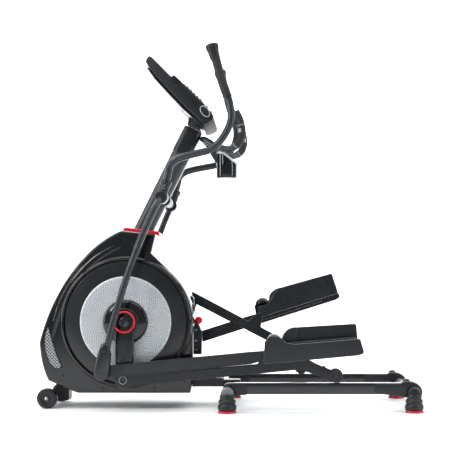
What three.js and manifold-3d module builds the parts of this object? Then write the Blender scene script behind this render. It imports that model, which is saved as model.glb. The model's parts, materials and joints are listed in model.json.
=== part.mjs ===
// Elliptical trainer: front-drive crank, wheeled pedal legs on two rails, swing arms and a console mast.
// Millimetres, +Z up, +X towards the rear of the machine, -Y on the rider's left. Z = 0 is the floor.
import * as THREE from "three";
import { mergeVertices } from "three/addons/utils/BufferGeometryUtils.js";
import Module from "manifold-3d";

// ---- driving dimensions ----
const GAP = 0.4; // assembly gap between two separate pieces
const CRANK_X = -456; // crank axis
const CRANK_Z = 391;
const CRANK_RADIUS = 254; // half of the stride
const PIVOT_X = -294; // swing arm pivot on the mast
const PIVOT_Z = 947;
const SWING_LENGTH = 811; // pivot to the lower pin of the swing arm
const FOOT_LENGTH = 713; // lower pin to the pin under the pedal
const PEDAL_LIFT = 30; // pedal and foot arm tail, raised above the arm's line
const LEG_LENGTH = 933; // crank pin to the roller axle
const LEG_PIN_ALONG = 628; // pedal pin, measured along the leg
const LEG_PIN_UP = 94; // pedal pin, above the leg's chord
const ROLLER_RADIUS = 29;
const ROLLER_WIDTH = 14;
const FORK_CLEARANCE = 9; // round the roller, inside the leg's fork
const RAIL_TOP = 126;
const RAIL_HEIGHT = 50;
const RAIL_WIDTH = 44;
const RAIL_WALL = 3;
const BEAM_WIDTH = 80;
const BEAM_BOTTOM = 88;
const BEAM_TOP = 128;
const BEAM_FRONT = -740;
const MID_X = 4; // middle cross tube
const MID_OVERHANG = 66; // its length outside a rail's centre line
const REAR_X = 817; // rear cross tube
const REAR_OVERHANG = 51;
const TUBE_RADIUS = 24; // cross tubes
const TUBE_WALL = 3;
const RAIL_FRONT = MID_X + TUBE_RADIUS + 32;
const RAIL_REAR = REAR_X - TUBE_RADIUS / 2;
const CROSS_Z = 82;
const BOOT_RADIUS = 43; // floor feet
const SHROUD_HALF = 165; // half width of the drive housing
const SHROUD_WALL = 4;
const SHROUD_RADIUS = 300; // rear arc of the housing, about the crank axis
const SHROUD_BOTTOM = 70;
const DISC_RADIUS = 272;
const RING_RADIUS = 204; // bright dimpled ring
const HUB_RADIUS = 98;
const RED_RADIUS = 50;
const RED_BORE = 41;
const SHAFT_RADIUS = 12;
const BEARING_RADIUS = 26;
const HOUSING_WALL = 6; // of the tube that holds the bearings
const BEARING_LAYER = [30, 46];
const BELT_LAYER = [52, 68];
const FLYWHEEL_LAYER = [73, 96];
const PULLEY_RADIUS = 150;
const FLYWHEEL_RADIUS = 128;
const FLYWHEEL_X = -682;
const FLYWHEEL_Z = 300;
const SMALL_PULLEY = 22;
const MAST_TILT = 26.4; // degrees back from vertical
const MAST_DEPTH = 86;
const MAST_WIDTH = 72;
const HEAD_Z = 1290; // where the mast's centre line meets the console bracket
const CONSOLE_HALF = 165;
const WHEEL_RADIUS = 46;
const WHEEL_X = -814;
const WHEEL_Y = 150;
const CUP_RADIUS = 49;
const CUP_DEPTH = 124;
const CUP_WALL = 3;
const PIVOT_Y = SHROUD_HALF + 35; // swing arm centre plane at the mast
const GRIP_Y = PIVOT_Y + 40; // and at the grips
const PIVOT_SHAFT_RADIUS = 16;
const SLEEVE_HALF = 20; // half length of a swing arm's sleeve on that shaft
const HANDLE_SEAT = 68; // where a handlebar starts, above the pivot
const DISC_THICKNESS = 14;
const RING_THICKNESS = 4.6;
const HUB_RISE = 17; // hub cap above the ring
const ARM_THICKNESS = 20;
const LEG_WIDTH = 26;
const FOOT_WIDTH = 29;
const EYE_WIDTH = 26;
const LINK_GAP = 5; // between two links that pass each other
const PEDAL_INSIDE = 24; // pedal beyond the leg's inner face
const PEDAL_OUTSIDE = 50; // and beyond the foot arm's outer face
// layers outwards from the housing, each the inner face and the outer face
const layer = (inner, thickness) => [inner, inner + thickness];
const DISC_LAYER = layer(SHROUD_HALF + LINK_GAP, DISC_THICKNESS);
const RING_LAYER = layer(DISC_LAYER[1] + GAP, RING_THICKNESS);
const ARM_LAYER = layer(RING_LAYER[1] + HUB_RISE, ARM_THICKNESS);
const RED_LAYER = layer(ARM_LAYER[1] + GAP, RING_THICKNESS);
const LEG_LAYER = layer(RED_LAYER[1] + LINK_GAP, LEG_WIDTH);
const FOOT_LAYER = layer(LEG_LAYER[1] + LINK_GAP, FOOT_WIDTH);
const SWING_LAYER = layer(FOOT_LAYER[1] + 3, EYE_WIDTH);
const PEDAL_LAYER = [LEG_LAYER[0] - PEDAL_INSIDE, FOOT_LAYER[1] + PEDAL_OUTSIDE];
const RAIL_Y = (LEG_LAYER[0] + LEG_LAYER[1]) / 2;
const MID_HALF = RAIL_Y + MID_OVERHANG;
const REAR_HALF = RAIL_Y + REAR_OVERHANG;

const RAD = Math.PI / 180;
const wasm = await Module();
wasm.setup();
const trainer = new THREE.Group();

// ---- shape helpers ----
function add(name, geometry, color, roughness, metalness) {
  const mesh = new THREE.Mesh(geometry, new THREE.MeshStandardMaterial({ color, roughness, metalness }));
  mesh.name = name;
  trainer.add(mesh);
  return mesh;
}

function toSolid(geometry) {
  const flat = geometry.index ? geometry.toNonIndexed() : geometry.clone();
  const bare = new THREE.BufferGeometry().setAttribute("position", flat.getAttribute("position"));
  const merged = mergeVertices(bare, 1e-3);
  return new wasm.Manifold(new wasm.Mesh({
    numProp: 3,
    vertProperties: merged.attributes.position.array,
    triVerts: new Uint32Array(merged.index.array),
  }));
}

function toGeometry(solid) {
  const mesh = solid.getMesh();
  const geometry = new THREE.BufferGeometry();
  geometry.setAttribute("position", new THREE.BufferAttribute(new Float32Array(mesh.vertProperties), 3));
  geometry.setIndex(new THREE.BufferAttribute(new Uint32Array(mesh.triVerts), 1));
  return geometry;
}

const cut = (base, ...tools) => toGeometry(tools.reduce((sum, t) => sum.subtract(toSolid(t)), toSolid(base)));
const join = (base, ...more) => toGeometry(more.reduce((sum, t) => sum.add(toSolid(t)), toSolid(base)));

// A side-view outline (x, z), extruded across the machine from y0 to y1.
function slab(shape, y0, y1, bevel = 0, curveSegments = 6) {
  const low = Math.min(y0, y1);
  const high = Math.max(y0, y1);
  const geometry = new THREE.ExtrudeGeometry(shape, {
    depth: high - low - 2 * bevel,
    bevelEnabled: bevel > 0,
    bevelThickness: bevel,
    bevelSize: bevel,
    bevelOffset: -bevel,
    bevelSegments: 1,
    curveSegments,
  });
  geometry.rotateX(Math.PI / 2);
  return geometry.translate(0, high - bevel, 0);
}

const outline = (points) => new THREE.Shape(points.map(([x, z]) => new THREE.Vector2(x, z)));

function box(x0, x1, y0, y1, z0, z1) {
  const geometry = new THREE.BoxGeometry(x1 - x0, Math.abs(y1 - y0), z1 - z0);
  return geometry.translate((x0 + x1) / 2, (y0 + y1) / 2, (z0 + z1) / 2);
}

// A turned part about the Y axis through (x, z). The profile holds [radius, y] pairs from the axis to the axis.
function turned(profile, x, z, sides = 40) {
  const points = profile.map(([r, y]) => new THREE.Vector2(r, y));
  const geometry = new THREE.LatheGeometry(points, sides);
  return geometry.translate(x, 0, z);
}

// A turned part between two planes of one side of the machine, with an optional bore.
function disc(radius, y0, y1, x, z, bore = 0, sides = 40) {
  const low = Math.min(y0, y1);
  const high = Math.max(y0, y1);
  const profile = [[bore, low], [radius, low], [radius, high], [bore, high]];
  if (bore > 0) profile.push([bore, low]);
  return turned(profile, x, z, sides);
}

function roundSection(radius, sides = 12) {
  return new THREE.Shape(Array.from({ length: sides }, (_, i) => {
    const turn = (i / sides) * 2 * Math.PI;
    return new THREE.Vector2(radius * Math.cos(turn), radius * Math.sin(turn));
  }));
}

function tube(points, radius, steps = 24, sides = 12) {
  const path = new THREE.CatmullRomCurve3(points.map(([x, y, z]) => new THREE.Vector3(x, y, z)));
  const options = { steps, bevelEnabled: false, extrudePath: path };
  return new THREE.ExtrudeGeometry(roundSection(radius, sides), options);
}

// A straight tube across the machine, with open ends.
function crossTube(x, half) {
  return disc(TUBE_RADIUS, -half, half, x, CROSS_Z, TUBE_RADIUS - TUBE_WALL, 16);
}

// Where two circles in the side view meet. side picks the lower or the upper of the two points.
function circlesMeet(ax, az, ar, bx, bz, br, side) {
  const span = Math.hypot(bx - ax, bz - az);
  const along = (ar * ar - br * br + span * span) / (2 * span);
  const off = side * Math.sqrt(ar * ar - along * along);
  const ux = (bx - ax) / span;
  const uz = (bz - az) / span;
  return [ax + along * ux - off * uz, az + along * uz + off * ux];
}

// Moves side-view geometry drawn from the origin to (x, z), turned up by angle (radians).
function place(geometry, x, z, angle) {
  return geometry.rotateY(-angle).translate(x, 0, z);
}

const BLACK = 0x131416;
const DARK = 0x1b1d20;
const GREY = 0x4a4e53;
const SILVER = 0xb9bdc1;
const STEEL = 0x8d9196;
const RED = 0xb3202a;
const RUBBER = 0x101112;

// ---- frame: central beam, cross tubes, rails and floor feet ----
const beamHalf = BEAM_WIDTH / 2;
const beamInnerHalf = beamHalf - TUBE_WALL;
const beamEnd = MID_X - TUBE_RADIUS - 8; // the middle bracket takes over from here
const beamOuter = box(BEAM_FRONT, beamEnd, -beamHalf, beamHalf, BEAM_BOTTOM, BEAM_TOP);
const beamInner = box(BEAM_FRONT - 1, MID_X, -beamInnerHalf, beamInnerHalf,
  BEAM_BOTTOM + TUBE_WALL, BEAM_TOP - TUBE_WALL);
add("main_beam", cut(beamOuter, beamInner), BLACK, 0.45, 0.6);

const wheelInner = WHEEL_Y - 20; // inner face of a transport wheel
const axleRadius = 6.6;
add("front_stabilizer", join(
  disc(axleRadius, -(WHEEL_Y + 12), WHEEL_Y + 12, WHEEL_X, WHEEL_RADIUS, 0, 16),
  disc(20, -(wheelInner - 6), wheelInner - 6, WHEEL_X, WHEEL_RADIUS, 0, 16),
  box(WHEEL_X - 28, BEAM_FRONT - GAP, -beamHalf + 2, beamHalf - 2, WHEEL_RADIUS - 24, BEAM_TOP - 6),
), BLACK, 0.45, 0.6);

add("middle_stabilizer", join(
  crossTube(MID_X, MID_HALF),
  cut(
    box(beamEnd + GAP, RAIL_FRONT - 8, -beamHalf, beamHalf, CROSS_Z - 10, BEAM_TOP - 8),
    disc(TUBE_RADIUS - TUBE_WALL, -BEAM_WIDTH, BEAM_WIDTH, MID_X, CROSS_Z, 0, 16),
  ),
), BLACK, 0.45, 0.6);
add("rear_stabilizer", crossTube(REAR_X, REAR_HALF), BLACK, 0.45, 0.6);

for (const [sideName, side] of [["left", -1], ["right", 1]]) {
  const railBottom = RAIL_TOP - RAIL_HEIGHT;
  const railIn = side * RAIL_Y - RAIL_WIDTH / 2;
  const railOut = side * RAIL_Y + RAIL_WIDTH / 2;
  const railOuter = box(RAIL_FRONT, RAIL_REAR, railIn, railOut, railBottom, RAIL_TOP);
  const railInner = box(RAIL_FRONT - 1, RAIL_REAR + 1, railIn + RAIL_WALL, railOut - RAIL_WALL,
    railBottom + RAIL_WALL, RAIL_TOP - RAIL_WALL);
  const railLug = box(MID_X + TUBE_RADIUS - 6, RAIL_FRONT + 2, railIn, railOut, railBottom + 6, RAIL_TOP);
  const rearTube = disc(TUBE_RADIUS + GAP, -REAR_HALF, REAR_HALF, REAR_X, CROSS_Z, 0, 16);
  const midTube = disc(TUBE_RADIUS + GAP, -MID_HALF, MID_HALF, MID_X, CROSS_Z, 0, 16);
  const rail = toSolid(railOuter).subtract(toSolid(railInner)).add(toSolid(railLug))
    .subtract(toSolid(rearTube)).subtract(toSolid(midTube));
  add("rail_" + sideName, toGeometry(rail), 0x232528, 0.35, 0.8);

  for (const [footName, footX, half] of [["middle", MID_X, MID_HALF], ["rear", REAR_X, REAR_HALF]]) {
    const profile = [
      [0, 0], [BOOT_RADIUS - 4, 0], [BOOT_RADIUS - 2, 6], [BOOT_RADIUS - 8, 14],
      [BOOT_RADIUS, 18], [BOOT_RADIUS - 6, 38], [BOOT_RADIUS - 12, CROSS_Z - 20],
      [BOOT_RADIUS - 20, CROSS_Z + 8], [0, CROSS_Z + 14],
    ];
    const boot = new THREE.LatheGeometry(profile.map(([r, h]) => new THREE.Vector2(r, h)), 16);
    boot.rotateX(Math.PI / 2);
    boot.translate(footX, side * half, 0);
    const bore = disc(TUBE_RADIUS + GAP, 0, side * (half + GAP), footX, CROSS_Z, 0, 16);
    add("foot_" + footName + "_" + sideName, cut(boot, bore), RUBBER, 0.7, 0);
  }

  // Transport wheel: tread, web and hub in one turned piece.
  const bore = axleRadius + GAP;
  const wheelProfile = [
    [bore, wheelInner + 2], [WHEEL_RADIUS - 12, wheelInner + 6], [WHEEL_RADIUS - 4, wheelInner],
    [WHEEL_RADIUS, wheelInner + 5], [WHEEL_RADIUS, wheelInner + 31], [WHEEL_RADIUS - 4, wheelInner + 36],
    [WHEEL_RADIUS - 12, wheelInner + 30], [bore, wheelInner + 34], [bore, wheelInner + 2],
  ];
  const wheel = turned(wheelProfile, 0, 0, 20);
  if (side < 0) wheel.rotateZ(Math.PI);
  add("wheel_" + sideName, wheel.translate(WHEEL_X, 0, WHEEL_RADIUS), RUBBER, 0.75, 0);
}

// ---- upright, bearing housing, mast and pivot shaft ----
const tilt = MAST_TILT * RAD;
const mastJointZ = 800;
const mastX = (z) => PIVOT_X - 112 + (z - mastJointZ) * Math.tan(tilt);

// A rectangle with cut corners, about the origin.
function octagon(depth, width, corner) {
  const d = depth / 2;
  const w = width / 2;
  return [
    [-d, -w + corner], [-d + corner, -w], [d - corner, -w], [d, -w + corner],
    [d, w - corner], [d - corner, w], [-d + corner, w], [-d, w - corner],
  ];
}

// A box tube that leans with the mast, with square ends. With no wall it is solid.
function leaning(depth, width, z0, z1, wall, corner = 14) {
  const section = outline(octagon(depth, width, corner));
  if (wall > 0) section.holes.push(outline(octagon(depth - 2 * wall, width - 2 * wall, corner - wall / 2)));
  const length = (z1 - z0) / Math.cos(tilt);
  const geometry = new THREE.ExtrudeGeometry(section, { depth: length, bevelEnabled: false });
  return geometry.rotateY(tilt).translate(mastX(z0), 0, z0);
}

const bossHalf = MAST_WIDTH / 2 + 26; // half length of the welded tube that holds the pivot shaft
const pivotBore = disc(PIVOT_SHAFT_RADIUS + GAP, -bossHalf - 18, bossHalf + 18, PIVOT_X, PIVOT_Z, 0, 16);
const mast = toSolid(leaning(MAST_DEPTH, MAST_WIDTH, mastJointZ, HEAD_Z - 8, 5))
  .add(toSolid(disc(PIVOT_SHAFT_RADIUS + 9, -bossHalf, bossHalf, PIVOT_X, PIVOT_Z, 0, 16)))
  .subtract(toSolid(pivotBore));
add("mast", toGeometry(mast), 0x2a2d30, 0.4, 0.7);

// The upright starts on a foot block that is welded to the beam.
const uprightDepth = MAST_DEPTH - 16;
const uprightHalf = MAST_WIDTH / 2 - 6;
const blockTop = BEAM_TOP + 60;
const blockX = mastX(blockTop);
const uprightTube = leaning(uprightDepth, 2 * uprightHalf, BEAM_TOP + 40, mastJointZ - 24, 4);
const belowBlock = box(blockX - 400, blockX + 400, -MAST_WIDTH, MAST_WIDTH, 0, blockTop);
add("frame_upright", join(
  cut(uprightTube, belowBlock),
  box(blockX - uprightDepth / 2 - 11, blockX + uprightDepth / 2 + 11, -uprightHalf, uprightHalf,
    BEAM_TOP + GAP, blockTop + 1),
), BLACK, 0.5, 0.6);

const capFace = PIVOT_Y + SLEEVE_HALF + GAP;
const capRadius = PIVOT_SHAFT_RADIUS + 10;
add("pivot_shaft", turned([
  [0, -capFace - 8], [capRadius - 4, -capFace - 8], [capRadius, -capFace - 4], [capRadius, -capFace],
  [PIVOT_SHAFT_RADIUS, -capFace], [PIVOT_SHAFT_RADIUS, capFace], [capRadius, capFace],
  [capRadius, capFace + 4], [capRadius - 4, capFace + 8], [0, capFace + 8],
], PIVOT_X, PIVOT_Z, 16), STEEL, 0.3, 0.9);

const housingHalf = BEARING_LAYER[1];
const housing = toSolid(disc(BEARING_RADIUS + HOUSING_WALL, -housingHalf, housingHalf, CRANK_X, CRANK_Z, 0, 16))
  .add(toSolid(box(CRANK_X - 24, CRANK_X + 24, -30, 30, BEAM_TOP + GAP, CRANK_Z)))
  .subtract(toSolid(disc(BEARING_RADIUS, -housingHalf - 14, housingHalf + 14, CRANK_X, CRANK_Z, 0, 16)));
add("crank_housing", toGeometry(housing), BLACK, 0.5, 0.6);
for (const [sideName, side] of [["left", -1], ["right", 1]]) {
  const bearingLayer = [side * BEARING_LAYER[0], side * BEARING_LAYER[1]];
  const bearing = disc(BEARING_RADIUS - GAP, ...bearingLayer, CRANK_X, CRANK_Z, SHAFT_RADIUS + GAP, 16);
  add("crank_bearing_" + sideName, bearing, STEEL, 0.3, 0.9);
}

// ---- drive: crankshaft, pulley, belt and flywheel ----
add("crankshaft", disc(SHAFT_RADIUS, -(ARM_LAYER[0] - GAP), ARM_LAYER[0] - GAP, CRANK_X, CRANK_Z, 0, 16),
  STEEL, 0.3, 0.9);
const shaftBore = SHAFT_RADIUS + GAP;
add("crank_pulley", disc(PULLEY_RADIUS, ...BELT_LAYER, CRANK_X, CRANK_Z, shaftBore, 30), DARK, 0.5, 0.2);
const spindle = 8;
const hubLayer = [BELT_LAYER[0], FLYWHEEL_LAYER[0] + 1];
const pulleyHub = disc(SMALL_PULLEY, ...hubLayer, FLYWHEEL_X, FLYWHEEL_Z, spindle + 1, 24);
const flywheelRim = disc(FLYWHEEL_RADIUS, ...FLYWHEEL_LAYER, FLYWHEEL_X, FLYWHEEL_Z, spindle + 1, 24);
add("flywheel", join(pulleyHub, flywheelRim), SILVER, 0.35, 0.9);
add("flywheel_axle", join(
  disc(spindle, BELT_LAYER[0] - 12, FLYWHEEL_LAYER[1] + 12, FLYWHEEL_X, FLYWHEEL_Z, 0, 12),
  box(FLYWHEEL_X - 22, FLYWHEEL_X + 22, BELT_LAYER[0] - 20, BELT_LAYER[0] - 6, BEAM_TOP + GAP, FLYWHEEL_Z + 24),
), STEEL, 0.4, 0.8);

function beltOutline(thickness) {
  const span = Math.hypot(FLYWHEEL_X - CRANK_X, FLYWHEEL_Z - CRANK_Z);
  const lean = Math.atan2(FLYWHEEL_Z - CRANK_Z, FLYWHEEL_X - CRANK_X);
  const wrap = Math.acos((PULLEY_RADIUS - SMALL_PULLEY) / span);
  const points = [];
  const steps = 24;
  for (let i = 0; i <= steps; i++) {
    const a = lean + wrap + (i / steps) * (2 * Math.PI - 2 * wrap);
    const r = PULLEY_RADIUS + 1 + thickness;
    points.push([CRANK_X + r * Math.cos(a), CRANK_Z + r * Math.sin(a)]);
  }
  for (let i = 0; i <= 8; i++) {
    const a = lean - wrap + (i / 8) * 2 * wrap;
    const r = SMALL_PULLEY + 1 + thickness;
    points.push([FLYWHEEL_X + r * Math.cos(a), FLYWHEEL_Z + r * Math.sin(a)]);
  }
  return outline(points);
}
const beltBand = beltOutline(3);
beltBand.holes.push(beltOutline(0));
add("drive_belt", slab(beltBand, BELT_LAYER[0] + 2, BELT_LAYER[1] - 2), RUBBER, 0.8, 0);

// ---- drive housing: two shells, collar, vents, inlet and knob ----
function shroudOutline() {
  const shape = new THREE.Shape();
  const neckFront = [PIVOT_X - 186, 802];
  const neckRear = [PIVOT_X - 31, 784];
  shape.moveTo(CRANK_X + SHROUD_RADIUS - 14, SHROUD_BOTTOM);
  shape.lineTo(CRANK_X + SHROUD_RADIUS, SHROUD_BOTTOM + 60);
  shape.absarc(CRANK_X, CRANK_Z, SHROUD_RADIUS, 0, 44 * RAD, false);
  shape.lineTo(neckRear[0] - 20, 700);
  shape.lineTo(neckRear[0], neckRear[1]);
  shape.lineTo(neckFront[0], neckFront[1]);
  shape.bezierCurveTo(CRANK_X - 160, 752, CRANK_X - 330, 560, CRANK_X - 392, 300);
  shape.quadraticCurveTo(CRANK_X - 390, 200, CRANK_X - 352, 126);
  shape.lineTo(CRANK_X - 220, SHROUD_BOTTOM);
  return shape;
}

// The outline moved inwards by the wall, point by point along the corner's bisector.
function inset(shape, distance) {
  const points = shape.getPoints(8);
  const closed = points.filter((p, i) => i === 0 || p.distanceTo(points[i - 1]) > 1e-3);
  if (closed[0].distanceTo(closed[closed.length - 1]) < 1e-3) closed.pop();
  const count = closed.length;
  const turn = THREE.ShapeUtils.area(closed) > 0 ? 1 : -1;
  return new THREE.Shape(closed.map((p, i) => {
    const before = closed[(i + count - 1) % count];
    const after = closed[(i + 1) % count];
    const inA = p.clone().sub(before).normalize();
    const outA = after.clone().sub(p).normalize();
    const bisector = inA.add(outA).normalize();
    return new THREE.Vector2(p.x - bisector.y * distance * turn, p.y + bisector.x * distance * turn);
  }));
}

const shroudShape = shroudOutline();
const shroudInner = inset(shroudShape, SHROUD_WALL);
const beamSlot = box(WHEEL_X - 60, 0, -beamHalf - 1, beamHalf + 1, 0, BEAM_TOP + 1);
const mastSlot = box(PIVOT_X - 226, PIVOT_X - 6, -MAST_WIDTH / 2 - 14, MAST_WIDTH / 2 + 14, 770, 830);
for (const [sideName, side] of [["left", -1], ["right", 1]]) {
  const outer = slab(shroudShape, side * 0.3, side * SHROUD_HALF, 0, 8);
  const hollow = slab(shroudInner, side * -1, side * (SHROUD_HALF - SHROUD_WALL));
  const throughWall = [side * (SHROUD_HALF - 40), side * (SHROUD_HALF + 40)];
  const bore = disc(3 * SHAFT_RADIUS, ...throughWall, CRANK_X, CRANK_Z, 0, 20);
  const shell = toSolid(outer).subtract(toSolid(hollow)).subtract(toSolid(bore))
    .subtract(toSolid(beamSlot)).subtract(toSolid(mastSlot));
  add("shroud_" + sideName, toGeometry(shell), BLACK, 0.18, 0);

  // Dished crank disc, bright ring, hub cap, crank arm with its pin, and red trim ring.
  add("crank_disc_" + sideName, disc(DISC_RADIUS, side * DISC_LAYER[0], side * DISC_LAYER[1], CRANK_X, CRANK_Z,
    SHAFT_RADIUS + GAP, 36), DARK, 0.3, 0);
  const ringLayer = [side * RING_LAYER[0], side * RING_LAYER[1]];
  const ring = disc(RING_RADIUS, ...ringLayer, CRANK_X, CRANK_Z, HUB_RADIUS + GAP, 36);
  add("dimpled_ring_" + sideName, ring, SILVER, 0.35, 0.8);
  const dome = turned([
    [SHAFT_RADIUS + GAP, RING_LAYER[0]], [HUB_RADIUS, RING_LAYER[0]], [HUB_RADIUS - 4, RING_LAYER[1] + 2],
    [HUB_RADIUS - 26, ARM_LAYER[0] - 7], [HUB_RADIUS - 50, ARM_LAYER[0] - GAP],
    [SHAFT_RADIUS + GAP, ARM_LAYER[0] - GAP],
    [SHAFT_RADIUS + GAP, RING_LAYER[0]],
  ], 0, 0, 28);
  if (side < 0) dome.rotateZ(Math.PI);
  add("hub_cap_" + sideName, dome.translate(CRANK_X, 0, CRANK_Z), BLACK, 0.2, 0);
}
const collar = outline([
  [PIVOT_X - 196, 804.6], [PIVOT_X - 25, 784.7], [PIVOT_X - 27, 802], [PIVOT_X - 188, 822],
]);
add("neck_collar", cut(
  slab(collar, -66, 66, 3),
  leaning(MAST_DEPTH + 2, MAST_WIDTH + 2, mastJointZ - 60, mastJointZ + 80, 0),
), RED, 0.4, 0);

for (const [sideName, side] of [["left", -1], ["right", 1]]) {
  const louvre = outline([
    [CRANK_X - 366, 366], [CRANK_X - 318, 362], [CRANK_X - 318, 200], [CRANK_X - 372, 224],
  ]);
  const face = SHROUD_HALF + GAP;
  add("vent_" + sideName, slab(louvre, side * face, side * (face + 3)), GREY, 0.5, 0.3);
}
const socketSection = [[3, 0], [9, 0], [9, 10], [3, 10], [3, 0]].map(([r, h]) => new THREE.Vector2(r, h));
const inlet = new THREE.LatheGeometry(socketSection, 12);
add("power_inlet", inlet.rotateZ(Math.PI / 2).translate(CRANK_X - 300, 0, 160), DARK, 0.4, 0);
const knobX = CRANK_X + SHROUD_RADIUS + 18;
const knobProfile = [[0, -66], [15, -66], [17, -60], [17, -50], [7, -46], [7, -30], [0, -30]];
add("pull_knob", turned(knobProfile, knobX, CRANK_Z + 5, 16), RED, 0.4, 0);

// ---- linkage: pedal legs, foot arms, pedals, rollers and swing arms ----
function linkage(crankUp) {
  const pin = [CRANK_X, CRANK_Z + (crankUp ? CRANK_RADIUS : -CRANK_RADIUS)];
  const rollerZ = RAIL_TOP + ROLLER_RADIUS + GAP;
  const drop = pin[1] - rollerZ;
  const roller = [pin[0] + Math.sqrt(LEG_LENGTH ** 2 - drop ** 2), rollerZ];
  const legAngle = Math.atan2(roller[1] - pin[1], roller[0] - pin[0]);
  const cos = Math.cos(legAngle);
  const sin = Math.sin(legAngle);
  const pedalPin = [
    pin[0] + LEG_PIN_ALONG * cos - LEG_PIN_UP * sin,
    pin[1] + LEG_PIN_ALONG * sin + LEG_PIN_UP * cos,
  ];
  const swingPin = circlesMeet(PIVOT_X, PIVOT_Z, SWING_LENGTH, pedalPin[0], pedalPin[1], FOOT_LENGTH, -1);
  const footAngle = Math.atan2(pedalPin[1] - swingPin[1], pedalPin[0] - swingPin[0]);
  return { pin, roller, legAngle, pedalPin, swingPin, footAngle };
}

// A foot arm's outline: an eye at the origin, a straight bar, and a slimmer tail under the pedal.
function footArmShape(half, eye, dropAlong, end) {
  const tailTop = PEDAL_LIFT - 5;
  const tailBottom = PEDAL_LIFT - 46;
  const shape = new THREE.Shape();
  shape.absarc(0, 0, eye, 80 * RAD, 280 * RAD, false);
  shape.lineTo(eye, -half);
  shape.lineTo(dropAlong, -half);
  shape.lineTo(dropAlong + 60, tailBottom);
  shape.lineTo(end, tailBottom);
  shape.lineTo(end, tailTop);
  shape.lineTo(dropAlong + 60, tailTop);
  shape.lineTo(dropAlong, half);
  shape.lineTo(eye, half);
  return shape;
}

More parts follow.
